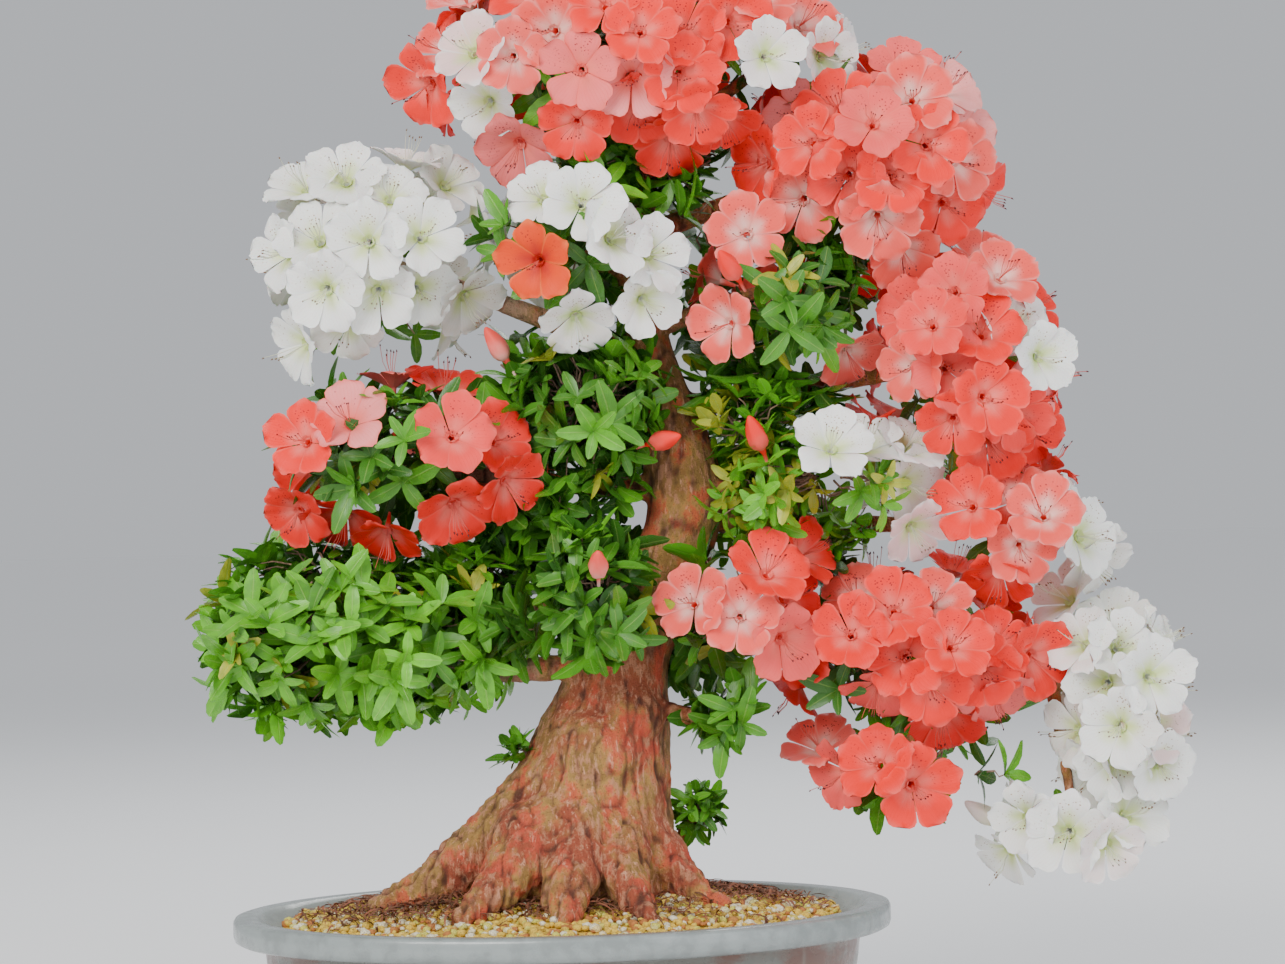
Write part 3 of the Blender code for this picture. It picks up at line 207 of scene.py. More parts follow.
# The blooms that face the viewer, as (x, z) in centimetres in the plane of the trunk, by spray and colour.
BLOOMS = {
    ("upper_left", "white"): (
        (-13.3, 59.8), (-10.1, 58.9), (-6.1, 59.3), (-15.5, 56.0), (-11.9, 55.3), (-8.2, 55.6),
        (-14.7, 52.0), (-11.3, 51.5), (-7.9, 51.6), (-17.0, 48.2), (-13.7, 48.6)),
    ("middle_left", "coral"): (
        (-16.7, 42.3), (-13.7, 44.1), (-6.4, 42.3), (-2.9, 42.1), (-6.3, 36.8), (-17.1, 36.8),
        (-14.4, 35.8), (-11.1, 35.6), (-6.7, 46.6)),
    ("upper_middle", "white"): ((2.6, 57.6), (5.3, 55.3), (7.3, 54.1), (6.5, 50.8), (2.1, 49.3)),
    ("upper_middle", "orange"): ((-0.6, 53.6),),
    ("crown", "coral"): (
        (-8.1, 65.5), (2.7, 66.3), (5.9, 65.5), (9.4, 66.0), (6.9, 68.9), (10.3, 69.1), (2.3, 62.7),
        (8.6, 60.9), (10.3, 63.3), (12.9, 69.1), (-0.7, 72.8), (3.3, 73.4), (7.3, 73.4), (-1.7, 61.3)),
    ("crown", "pink"): (
        (-7.5, 68.3), (-2.1, 67.5), (0.3, 69.5), (-4.7, 71.6), (11.3, 72.8), (14.9, 71.2), (18.3, 69.8)),
    ("crown", "white"): ((-4.9, 68.1), (-4.4, 63.6), (14.9, 67.3), (19.4, 66.8)),
    ("right_top", "coral"): (
        (24.3, 66.5), (16.6, 63.6), (19.6, 63.6), (18.5, 61.0), (22.1, 62.5), (25.6, 60.7), (20.3, 59.3),
        (23.1, 59.1), (27.6, 56.7), (23.3, 51.8)),
    ("right_top", "pink"): (
        (27.4, 64.4), (28.6, 62.0), (24.7, 63.6), (27.8, 59.6), (14.3, 56.9), (16.9, 57.1), (22.3, 55.5),
        (23.9, 53.6)),
    ("right_inner", "pink"): ((11.6, 49.1), (20.4, 46.4), (13.4, 55.2)),
    ("right_middle", "pink"): ((29.6, 53.4), (30.7, 51.4), (24.2, 46.0)),
    ("right_middle", "coral"): (
        (27.1, 50.8), (29.1, 48.8), (25.8, 48.7), (27.4, 45.3), (29.1, 44.0), (30.7, 42.5), (32.4, 41.5),
        (29.9, 40.8), (32.6, 43.9), (26.9, 42.0)),
    ("right_middle", "white"): ((31.9, 49.1), (32.7, 46.4)),
    ("right_leafy", "white"): ((21.4, 42.2), (24.3, 40.8), (24.9, 38.0), (24.4, 34.9)),
    ("right_low", "pink"): ((30.1, 38.1), (32.5, 36.1), (31.4, 33.5)),
    ("right_low", "coral"): ((28.4, 36.9), (29.6, 31.4)),
    ("right_low", "white"): ((35.6, 34.3), (36.4, 32.4)),
    ("low_right_fork", "pink"): ((8.9, 30.8), (12.3, 29.6)),
    ("low_right_fork", "coral"): ((14.5, 32.7), (15.6, 27.6), (17.2, 33.9)),
    ("low_right", "pink"): ((19.9, 31.6), (25.4, 30.8)),
    ("low_right", "coral"): (
        (19.8, 28.3), (22.8, 29.5), (23.4, 26.8), (24.9, 24.7), (25.8, 22.0), (28.9, 25.3), (32.0, 26.3),
        (26.6, 27.5), (30.4, 28.0)),
    ("under_right", "pink"): ((17.2, 21.3),),
    ("under_right", "coral"): ((21.3, 19.6), (23.6, 17.8)),
    ("cascade", "white"): (
        (34.1, 30.2), (36.9, 29.9), (34.9, 27.4), (38.1, 27.0), (36.3, 24.4), (39.6, 24.8), (37.3, 21.6),
        (40.2, 21.8), (40.0, 18.9), (37.2, 18.6)),
    ("cascade_foot", "white"): ((38.2, 15.8), (36.3, 13.8), (31.4, 15.3), (33.6, 14.5), (29.0, 12.4)),
}

# The blooms on each spray's far side, drawn by a seeded rule: colour and how many.
BACK_BLOOMS = {
    "upper_left": ("white", 5), "middle_left": ("coral", 4), "upper_middle": ("white", 3), "crown": ("coral", 12),
    "right_top": ("coral", 6), "right_inner": ("pink", 2), "right_middle": ("coral", 6), "right_low": ("pink", 2),
    "low_right": ("coral", 5), "cascade": ("white", 5),
}

# Blooms that fill up each bunch, drawn by a seeded rule.
FILL_BLOOMS = {
    ("crown", "coral"): 12, ("crown", "pink"): 7, ("crown", "white"): 3, ("right_top", "coral"): 10,
    ("right_top", "pink"): 5, ("right_middle", "coral"): 8, ("right_middle", "pink"): 4, ("right_middle", "white"): 2,
    ("right_low", "coral"): 3, ("right_low", "white"): 1, ("low_right", "coral"): 7, ("low_right_fork", "coral"): 1,
    ("cascade", "white"): 14, ("cascade_foot", "white"): 1, ("upper_left", "white"): 8, ("upper_middle", "white"): 1,
    ("middle_left", "coral"): 2, ("right_leafy", "white"): 2, ("under_right", "coral"): 1,
}

# Blooms with a direction of their own, by spray and x, and where each one faces.
TRUMPETS = {("cascade_foot", 29.0): (-0.62, -0.55, -0.56), ("upper_left", -17.0): (-0.80, -0.45, -0.40),
            ("right_inner", 13.4): (-0.10, -0.97, 0.22)}

# Closed buds, as (spray, x, z, colour).
BUDS = (
    ("front_leafy", 3.0, 32.8, "pink"), ("inner_leafy", -3.0, 47.4, "pink"), ("right_inner", 12.6, 52.4, "coral"),
    ("cascade_foot", 28.8, 15.6, "white"), ("inner_leafy", 7.0, 41.3, "coral"), ("right_leafy", 14.0, 41.0, "coral"),
)

# How much a bloom that faces the viewer looks outward, at the eye and up.
OUTWARD, TO_EYE, UPWARD = 0.75, 0.55, 0.08
# A petal's start at the throat, the funnel's depth, and where along it a petal is widest.
THROAT, FUNNEL, WIDEST = 2.0 * MM, 12.5 * MM, 0.66
# Which ways a spray's far blooms and filling blooms may lie, as limits of y and z of all directions from its middle.
BACK_WAYS, BACK_LOWEST, BACK_FRONT = 60, -0.35, 0.15
FILL_WAYS, FILL_LOWEST, FILL_BACK = 320, -0.8, 0.45
# Room for a bloom in bloom radii: between far blooms, and for a filling bloom from its own colour at most, from its
# own colour at least, and how much less from another colour. Both kinds keep out of the hearts of other sprays.
CROWDED, NEAR, ROOMY, OTHER_COLOUR = 1.5, 2.2, 1.02, 1.3
BACK_DEPTH, FILL_DEPTH = 0.85, 0.88
# How close two blooms may stand, as a share of both radii, and how they are eased apart.
CLOSEST, EASING_ROUNDS, EASING = 0.56, 12, 0.25
# Neighbouring blooms stand at different depths along their own axes.
LAYERS = (0.0, -7.0 * MM, 6.0 * MM, -13.0 * MM)
# How far a bloom reaches beside and along its axis, in its radii, and the margin it keeps to the solids' box.
BESIDE, BEFORE, BOX_MARGIN = 1.08, 0.5, 2 * MM

# The bed under the grains: how far it lies below them, and its rings and steps.
BED_DROP, BED_RINGS, BED_STEPS = 1.2 * MM, 26, 120
# Where the litter lies: middle across and deep, and its spread each way.
LITTER = ((-0.125, 0.0, 0.028, 0.035), (-0.09, -0.045, 0.03, 0.018), (0.02, -0.075, 0.05, 0.012),
          (0.125, 0.015, 0.03, 0.03), (0.07, 0.0, 0.04, 0.04), (-0.03, 0.06, 0.06, 0.02))
SCRAPS = 3400

# Each colour's throat and petal edge, and the specks of the white blooms.
PETALS = {
    "coral": ((0.95, 0.22, 0.18), (0.95, 0.15, 0.12)), "pink": ((0.95, 0.60, 0.53), (0.95, 0.36, 0.32)),
    "orange": ((0.55, 0.03, 0.02), (0.9, 0.2, 0.05)), "white": ((0.70, 0.80, 0.36), (0.93, 0.93, 0.92)),
}
WHITE_SPECKS = (0.36, 0.22, 0.10)
# Threads and anthers.
STAMENS = {"coral": ((0.80, 0.16, 0.13), (0.10, 0.02, 0.02)), "white": ((0.82, 0.84, 0.66), (0.22, 0.12, 0.06))}

# The lamps: name, place, power, size and colour, the point that they face, and the light of the sky.
LAMPS = (
    ("key", (-1.3, -2.5, 2.0), 112.0, 2.0, (1.0, 0.97, 0.93)),
    ("fill", (2.2, -2.0, 1.1), 40.0, 2.4, (0.93, 0.96, 1.0)),
    ("rim", (0.6, 1.7, 2.3), 40.0, 1.6, (1.0, 1.0, 1.0)),
)
AIM = Vector((0.06, 0.0, 0.38))
SKY, SKY_STRENGTH = (0.88, 0.91, 0.96, 1.0), 0.62


def colour_property(name, description, default):
    """A colour that a user may change."""
    return FloatVectorProperty(name=name, description=description, subtype="COLOR", size=3,
                               min=0.0, max=1.0, default=default)


def length_property(name, description, default):
    """A length that a user may change."""
    return FloatProperty(name=name, description=description, default=default, min=MM, subtype="DISTANCE",
                         unit="LENGTH")


class PotSettings(bpy.types.PropertyGroup):
    """The pot's glaze."""
    lip: colour_property("Lip", "Pale glaze of the lip", (0.28, 0.315, 0.31))
    body: colour_property("Body", "Grey-green glaze of the body", (0.16, 0.16, 0.14))
    patches: colour_property("Patches", "Brown where the glaze runs thin", (0.15, 0.075, 0.055))
    sides: IntProperty(name="Sides", description="Steps round the oval", default=160, min=48, max=256)


class SoilSettings(bpy.types.PropertyGroup):
    """The grains and the litter on them."""
    grain: length_property("Grain", "Width of a grain", 5.2 * MM)
    grains: IntProperty(name="Grains", description="Grains strewn on the bed", default=5200, min=0)
    ochre: colour_property("Ochre", "Commonest grains", (0.80, 0.55, 0.075))
    cream: colour_property("Cream", "Palest grains", (0.88, 0.83, 0.62))
    rust: colour_property("Rust", "Burnt grains", (0.52, 0.19, 0.05))
    litter: colour_property("Litter", "Root fibres and dead leaves", (0.11, 0.035, 0.018))


class BarkSettings(bpy.types.PropertyGroup):
    """The bark of the trunk, roots and branches."""
    voxel: length_property("Voxel", "Fineness of the trunk's mesh", 1.86 * MM)
    warm: colour_property("Warm bark", "Orange-brown bark", (0.40, 0.085, 0.038))
    flake: colour_property("Flakes", "Pinkish, flaking bark", (0.63, 0.29, 0.16))
    olive: colour_property("Olive", "Weathered, greenish bark", (0.34, 0.19, 0.050))
    # Dark crumbs on the bark, and the painted shade in its folds.
    crevice: colour_property("Crevices", "Bark deep in the folds", (0.075, 0.022, 0.014))
    twig: colour_property("Twigs", "Thin greyish twigs", (0.20, 0.125, 0.085))
    weathered: colour_property("Weathered", "Pale, greyish bark of the low branches", (0.44, 0.34, 0.25))


class LeafSettings(bpy.types.PropertyGroup):
    """The leaves and their whorls."""
    length: length_property("Length", "Length of a leaf", 27 * MM)
    width: length_property("Width", "Width of a leaf", 11.5 * MM)
    whorls: FloatProperty(name="Whorls", description="Whorls to each square decimetre", default=19.0, min=0.0)
    old: colour_property("Old leaves", "Dark green inside the crown", (0.030, 0.125, 0.014))
    young: colour_property("Young leaves", "Bright green at the tips", (0.165, 0.55, 0.020))
    turning: colour_property("Turning leaves", "Yellow leaves here and there", (0.50, 0.42, 0.045))


class BloomSettings(bpy.types.PropertyGroup):
    """The blooms."""
    radius: length_property("Radius", "Half a bloom's width", 29 * MM)
    coral: colour_property("Coral", "Commonest colour", (0.96, 0.026, 0.016))
    pink: colour_property("Pink", "Salmon pink blooms", (0.96, 0.105, 0.078))
    orange: colour_property("Orange", "The one orange bloom", (0.82, 0.060, 0.006))
    white: colour_property("White", "White blooms", (0.90, 0.905, 0.87))
    specks: colour_property("Specks", "Dots on the upper petals", (0.33, 0.015, 0.02))


class StageSettings(bpy.types.PropertyGroup):
    """Floor, light and camera."""
    floor: colour_property("Floor", "Plain pale floor", (0.86, 0.87, 0.88))
    lens: FloatProperty(name="Lens", description="Focal length", default=100.8, min=1.0, unit="CAMERA")


# Materials.


def toned(colour, factor, plus=0.0):
    """A colour made lighter or darker, by one factor or by one for each channel."""
    factors = factor if isinstance(factor, tuple) else (factor,) * 3
    return tuple(min(channel * share + plus, 1.0) for channel, share in zip(colour, factors))


class Finish:
    """A material's nodes, added one after the other."""

    def __init__(self, name, roughness, **sockets):
        self.material = bpy.data.materials.new(name)
        self.material.use_nodes = True
        self.nodes = self.material.node_tree.nodes
        self.links = self.material.node_tree.links
        self.shader = self.nodes["Principled BSDF"]
        self.shader.inputs["Roughness"].default_value = roughness
        for socket, value in sockets.items():
            self.shader.inputs[socket.replace("_", " ")].default_value = value

    def add(self, kind, inputs=(), **settings):
        """A node with its settings, whose inputs are values or other nodes' outputs."""
        made = self.nodes.new(kind)
        for name, value in settings.items():
            setattr(made, name, value)
        for key, value in dict(inputs).items():
            if isinstance(value, bpy.types.NodeSocket):
                self.links.new(value, made.inputs[key])
            else:
                made.inputs[key].default_value = value
        return made

    def place(self, scale=(1.0, 1.0, 1.0)):
        """Object coordinates, stretched."""
        coordinates = self.add("ShaderNodeTexCoord")
        return self.add("ShaderNodeMapping", {"Vector": coordinates.outputs["Object"], "Scale": scale}).outputs[0]

    def noise(self, vector, scale, detail=3.0, roughness=0.55):
        """Cloudy noise about 0.5."""
        made = self.add("ShaderNodeTexNoise", {"Vector": vector, "Scale": scale, "Detail": detail,
                                               "Roughness": roughness})
        return made.outputs["Fac"]

    def ramp(self, value, low, high, to_low=0.0, to_high=1.0):
        """A value's smooth step between two limits."""
        made = self.add("ShaderNodeMapRange", {0: value, 1: low, 2: high, 3: to_low, 4: to_high},
                        interpolation_type="SMOOTHSTEP")
        return made.outputs[0]

    def maths(self, operation, first, second=0.0, third=0.0):
        """The result of one operation on values."""
        return self.add("ShaderNodeMath", {0: first, 1: second, 2: third}, operation=operation).outputs[0]

    def times(self, first, second, plus=None):
        """Two values' product, and what is added to it."""
        if plus is None:
            return self.maths("MULTIPLY", first, second)
        return self.maths("MULTIPLY_ADD", first, second, plus)

    def beside(self, across):
        """How far from the midrib a place is: 0 on it and 0.5 on the edge."""
        return self.maths("ABSOLUTE", self.maths("SUBTRACT", across, 0.5))

    def lines(self, value, width):
        """Fine lines where a value passes each half turn: 0 on them and 1 between them."""
        return self.ramp(self.maths("ABSOLUTE", self.maths("SINE", value)), 0.0, width)

    def parts(self, vector):
        """A vector's three parts."""
        return self.add("ShaderNodeSeparateXYZ", {0: vector}).outputs

    def mix(self, share, first, second):
        """A mix of two colours."""
        made = self.add("ShaderNodeMix", data_type="RGBA")
        for key, value in ((0, share), (6, first), (7, second)):
            if isinstance(value, bpy.types.NodeSocket):
                self.links.new(value, made.inputs[key])
            elif key:
                made.inputs[key].default_value = (*value[:3], 1.0)
            else:
                made.inputs[key].default_value = value
        return made.outputs[2]

    def lay(self, under, over, value, *limits):
        """A colour laid over another where a value rises between two limits."""
        return self.mix(self.ramp(value, *limits), under, over)

    def attribute(self, name):
        """A value that the mesh holds for each vertex."""
        return self.add("ShaderNodeAttribute", attribute_name=name).outputs["Fac"]

    def across_and_along(self):
        """The piece's own UV map: across a petal or leaf, and along it."""
        return self.parts(self.add("ShaderNodeUVMap", uv_map="UVMap").outputs[0])[:2]

    def colour(self, socket):
        """Gives the surface its colour."""
        self.links.new(socket, self.shader.inputs["Base Color"])

    def rough(self, socket):
        """Gives the surface its roughness."""
        self.links.new(socket, self.shader.inputs["Roughness"])

    def bump(self, height, strength, distance):
        """Gives the surface its fine relief."""
        made = self.add("ShaderNodeBump", {"Height": height, "Strength": strength, "Distance": distance})
        self.links.new(made.outputs[0], self.shader.inputs["Normal"])


def glaze_finish(settings):
    """Mottled glaze, pale on the lip and worn thin to brown in patches."""
    finish = Finish("glaze", 0.25, Coat_Weight=0.35, Coat_Roughness=0.12)
    place = finish.place()
    broad = finish.noise(finish.place((1.0, 1.0, 2.2)), 11.0, 5.0, 0.62)
    fine = finish.noise(place, 75.0, 4.0, 0.6)
    drips = finish.noise(finish.place((1.0, 1.0, 0.16)), 42.0, 3.0)
    body = finish.lay(settings.body, settings.patches, broad, 0.44, 0.58)
    body = finish.lay(body, toned(settings.body, 1.65), drips, 0.56, 0.72, 0.0, 0.65)
    lip = finish.lay(settings.lip, toned(settings.lip, 0.6), fine, 0.40, 0.62, 0.0, 0.5)
    wobbly_height = finish.times(drips, 0.006, finish.parts(place)[2])
    under_lip = POT_HEIGHT - LIP_HEIGHT
    finish.colour(finish.lay(body, lip, wobbly_height, under_lip, under_lip + 0.005))
    finish.rough(finish.ramp(fine, 0.35, 0.7, 0.20, 0.42))
    finish.bump(finish.times(broad, 2.0, fine), 0.35, 0.6 * MM)
    return finish.material


def grain_finish(settings):
    """Crumbly fired grains in several colours."""
    finish = Finish("gravel", 0.92)
    tint = finish.attribute("tint")
    crumb = finish.noise(finish.place(), 900.0, 3.0, 0.7)
    colour = finish.lay(settings.ochre, settings.cream, tint, 0.42, 0.52)
    colour = finish.lay(colour, (0.70, 0.66, 0.12), tint, 0.70, 0.78)
    colour = finish.lay(colour, settings.rust, tint, 0.84, 0.90)
    finish.colour(finish.lay(colour, (0.16, 0.09, 0.03), crumb, 0.35, 0.6, 0.55, 0.0))
    finish.bump(crumb, 0.7, 0.5 * MM)
    return finish.material


def litter_finish(settings):
    """Dead leaves, bark crumbs and root fibres."""
    finish = Finish("litter", 0.95)
    crumb = finish.noise(finish.place(), 400.0, 3.0)
    colour = finish.mix(finish.attribute("tint"), settings.litter, toned(settings.litter, 2.6))
    finish.colour(finish.lay(colour, (0.17, 0.10, 0.045), crumb, 0.4, 0.7, 0.0, 0.5))
    finish.bump(crumb, 0.5, 0.4 * MM)
    return finish.material


def bark_finish(settings):
    """Flaking reddish bark with olive patches, pale low branches, and painted shade that darkens the folds."""
    finish = Finish("bark", 0.8)
    place = finish.place()
    patches = finish.noise(place, 17.0, 5.0, 0.62)
    blotches = finish.noise(finish.place((1.2, 1.2, 0.9)), 42.0, 5.0, 0.65)
    flakes = finish.noise(finish.place((1.0, 1.0, 0.42)), 210.0, 5.0, 0.7)
    strokes = finish.noise(finish.place((1.0, 1.0, 0.22)), 330.0, 3.0, 0.6)
    crumb = finish.noise(place, 800.0, 4.0, 0.7)
    across, _, height = finish.parts(place)
    upper = finish.ramp(finish.times(patches, 0.10, height), 0.27, 0.37)
    old = finish.lay(settings.olive, toned(settings.olive, 1.9), blotches, 0.40, 0.62)
    colour = finish.lay(settings.warm, old, patches, 0.44, 0.56)
    colour = finish.mix(finish.times(upper, 0.65), colour, old)
    colour = finish.lay(colour, settings.flake, flakes, 0.48, 0.60, 0.0, 0.85)
    colour = finish.lay(colour, toned(settings.warm, (1.75, 1.0, 1.1)), blotches, 0.50, 0.62, 0.0, 0.8)
    colour = finish.lay(colour, toned(settings.flake, 1.35, 0.10), strokes, 0.58, 0.68, 0.0, 0.6)
    low_branch = finish.times(finish.ramp(across, -0.022, -0.002, 0.62, 0.0), finish.ramp(height, 0.235, 0.255))
    colour = finish.mix(low_branch, colour, settings.weathered)
    # Painted shade: the deeper a vertex lies in a fold, the darker its bark is painted.
    fold = finish.ramp(finish.attribute("fold"), 0.0, 1.0)
    colour = finish.mix(finish.times(fold, 0.85), colour, settings.crevice)
    finish.colour(finish.lay(colour, settings.crevice, crumb, 0.30, 0.46, 0.7, 0.0))
    finish.rough(finish.ramp(flakes, 0.4, 0.7, 0.72, 0.92))
    finish.bump(finish.times(flakes, 2.0, finish.times(strokes, 0.8, crumb)), 0.95, 2.0 * MM)
    return finish.material


def twig_finish(settings):
    """Thin, greyish brown twigs."""
    finish = Finish("twig", 0.85)
    grain = finish.noise(finish.place((1.0, 1.0, 0.5)), 420.0, 4.0)
    finish.colour(finish.lay(settings.twig, toned(settings.twig, 2.2), grain, 0.45, 0.68, 0.0, 0.7))
    finish.bump(grain, 0.5, 0.4 * MM)
    return finish.material


def leaf_finish(settings):
    """Glossy leaves with a pale midrib, from dark to bright green."""
    finish = Finish("leaf", 0.36, Specular_IOR_Level=0.42)
    across, along = finish.across_and_along()
    tint = finish.attribute("tint")
    side = finish.beside(across)
    colour = finish.lay(settings.old, settings.young, tint, 0.0, 0.85)
    colour = finish.lay(colour, settings.turning, tint, 0.90, 1.0, 0.0, 0.8)
    mottle = finish.noise(finish.place(), 130.0, 3.0)
    colour = finish.lay(colour, finish.mix(0.6, colour, settings.old), mottle, 0.42, 0.62, 0.0, 0.55)
    slant = finish.times(side, -9.0, finish.times(along, 11.0))
    veins = finish.lines(finish.times(slant, 3.1416), 0.35)
    rib = finish.ramp(side, 0.015, 0.06, 1.0, 0.0)
    pale = finish.mix(0.42, colour, (0.38, 0.60, 0.13))
    colour = finish.mix(finish.times(rib, 0.75), colour, pale)
    finish.colour(finish.lay(colour, pale, veins, 0.0, 1.0, 0.22, 0.0))
    finish.rough(finish.ramp(mottle, 0.35, 0.7, 0.22, 0.38))
    finish.bump(finish.times(rib, -1.6, veins), 0.45, 0.35 * MM)
    return finish.material


def petal_finish(name, petal, throat, edge, specks):
    """Thin petals that pale or glow towards the throat, with fine veins, and specks on the upper ones."""
    finish = Finish(name, 0.5, Subsurface_Weight=0.10, Subsurface_Scale=0.004, Specular_IOR_Level=0.22)
    across, along = finish.across_and_along()
    tint = finish.attribute("tint")
    cloud = finish.noise(finish.place(), 85.0, 3.0)
    side = finish.beside(across)
    deep = toned(petal, (0.96, 0.60, 0.60))
    body = finish.lay(petal, toned(petal, 0.45, 0.52), tint, 0.60, 1.0, 0.0, 0.55)
    body = finish.lay(body, deep, tint, 0.0, 0.40, 0.8, 0.0)
    middle = finish.times(cloud, 0.25, finish.times(side, 0.45, along))
    colour = finish.lay(throat, body, middle, 0.22, 0.72)
    rim = finish.maths("MAXIMUM", along, finish.times(side, 1.96))
    colour = finish.lay(colour, edge, finish.times(cloud, 0.16, rim), 0.84, 1.10, 0.0, 0.65)
    veins = finish.lines(finish.times(cloud, 1.2, finish.times(across, 34.0)), 0.42)
    colour = finish.lay(colour, finish.mix(0.5, colour, deep), veins, 0.0, 1.0, 0.28, 0.0)
    scaled = [finish.times(part, size) for part, size in ((across, 10.0), (along, 15.0), (tint, 40.0))]
    spread_out = finish.add("ShaderNodeCombineXYZ", enumerate(scaled)).outputs[0]
    dots = finish.add("ShaderNodeTexVoronoi", {"Vector": spread_out, "Scale": 1.0, "Randomness": 0.9})
    shown = finish.times(finish.ramp(dots.outputs["Distance"], 0.20, 0.30, 1.0, 0.0), finish.attribute("upper"))
    for value, *limits in ((along, 0.22, 0.34), (along, 0.60, 0.76, 1.0, 0.0), (side, 0.24, 0.34, 1.0, 0.0)):
        shown = finish.times(shown, finish.ramp(value, *limits))
    finish.colour(finish.mix(finish.times(shown, 0.9), colour, specks))
    finish.bump(finish.times(cloud, 0.5, veins), 0.32, 0.4 * MM)
    return finish.material


def stamen_finish(name, thread, anther):
    """Pale threads with dark ends."""
    finish = Finish(name, 0.45)
    _, along = finish.across_and_along()
    finish.colour(finish.lay(thread, anther, along, 0.64, 0.72))
    finish.bump(finish.noise(finish.place(), 900.0), 0.2, 0.1 * MM)
    return finish.material


# Making and finishing pieces.


def mesh_object(name, mesh, *materials):
    """An object at the origin with its materials."""
    obj = bpy.data.objects.new(name, mesh)
    bpy.context.scene.collection.objects.link(obj)
    for surface in materials:
        mesh.materials.append(surface)
    return obj


def from_bmesh(name, bm, smooth=True):
    """A mesh of a bmesh, which is freed."""
    mesh = bpy.data.meshes.new(name)
    for face in bm.faces:
        face.smooth = smooth
    bm.to_mesh(mesh)
    bm.free()
    return mesh


def nodes_like(prefix):
    """The solids' nodes with this name, or this name and a number."""
    return [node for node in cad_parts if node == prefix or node.startswith(prefix + "_") and
            node[len(prefix) + 1:].isdigit()]


def finished(piece, nodes=()):
    """Ties a finished piece to the tree and stands it for the solids' nodes."""
    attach(piece, "root")
    if nodes:
        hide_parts(*nodes)
    return piece


def read(items, field, width=1, kind=float):
    """One field of every item, as an array."""
    values = np.empty(len(items) * width, kind)
    items.foreach_get(field, values)
    return values


def strewn(name, copies, surfaces):
    """One mesh of many copies. copies holds (template mesh, matrix, tint), and templates may have several parts."""
    sets = {}
    for template, matrix, tint in copies:
        sets.setdefault(template.name, (template, [], []))
        sets[template.name][1].append(np.array(matrix))
        sets[template.name][2].append(tint)
    points, corners, starts, slots, maps, tints, uppers = [], [], [], [], [], [], []
    vertex_base = corner_base = 0
    for template, matrices, shades in sets.values():
        count, vertices, loops = len(matrices), len(template.vertices), len(template.loops)
        each = np.arange(count)[:, None]
        place = np.c_[read(template.vertices, "co", 3).reshape(-1, 3), np.ones(vertices)]
        points.append(np.einsum("nij,vj->nvi", np.array(matrices), place)[:, :, :3].ravel())
        corners.append((read(template.loops, "vertex_index", 1, int) + each * vertices).ravel() + vertex_base)
        starts.append((read(template.polygons, "loop_start", 1, int) + each * loops).ravel() + corner_base)
        slots.append(np.tile(read(template.polygons, "material_index", 1, int), count))
        flat = read(template.uv_layers[0].data, "uv", 2) if template.uv_layers else np.zeros(loops * 2)
        maps.append(np.tile(flat, count))
        tints.append(np.repeat(np.array(shades), vertices))
        upper = template.attributes.get("upper")
        uppers.append(np.tile(read(upper.data, "value") if upper else np.zeros(vertices), count))
        vertex_base += count * vertices
        corner_base += count * loops
    mesh = bpy.data.meshes.new(name)
    mesh.vertices.add(vertex_base)
    mesh.loops.add(corner_base)
    mesh.polygons.add(sum(len(part) for part in starts))
    for items, field, values in ((mesh.vertices, "co", points), (mesh.loops, "vertex_index", corners),
                                 (mesh.polygons, "loop_start", starts), (mesh.polygons, "material_index", slots)):
        items.foreach_set(field, np.concatenate(values))
    mesh.uv_layers.new(name="UVMap").data.foreach_set("uv", np.concatenate(maps))
    for label, values in (("tint", tints), ("upper", uppers)):
        mesh.attributes.new(label, "FLOAT", "POINT").data.foreach_set("value", np.concatenate(values))
    mesh.update(calc_edges=True)
    mesh.shade_smooth()
    return mesh_object(name, mesh, *surfaces)


def shaped_grid(bm, across, along, shape):
    """A grid whose vertices go to shape(side, along), with its own UV map: across it and along it."""
    layer = bm.loops.layers.uv.verify()
    made = bmesh.ops.create_grid(bm, x_segments=across, y_segments=along, size=0.5)["verts"]
    own = {}
    for vertex in made:
        side, far = vertex.co.x * 2, vertex.co.y + 0.5
        own[vertex] = (side / 2 + 0.5, far)
        vertex.co = shape(side, far)
    for face in {face for vertex in made for face in vertex.link_faces}:
        for loop in face.loops:
            loop[layer].uv = own[loop.vert]
    return made


def spun(bm, section, steps):
    """Spins a section of (radius, height) points into an oval body."""
    corners = [bm.verts.new((radius, 0.0, height)) for radius, height in section]
    edges = [bm.edges.new(pair) for pair in zip(corners, corners[1:])]
    bmesh.ops.spin(bm, geom=corners + edges, axis=(0, 0, 1), cent=(0, 0, 0), angle=2 * math.pi, steps=steps,
                   use_merge=True)
    bmesh.ops.remove_doubles(bm, verts=bm.verts, dist=1e-6)
    bmesh.ops.scale(bm, vec=(1.0, OVAL, 1.0), verts=bm.verts)


def evaluated_mesh(obj):
    """A new mesh of an object with its curves and modifiers worked out."""
    bpy.context.view_layer.update()
    return bpy.data.meshes.new_from_object(obj.evaluated_get(bpy.context.evaluated_depsgraph_get()))


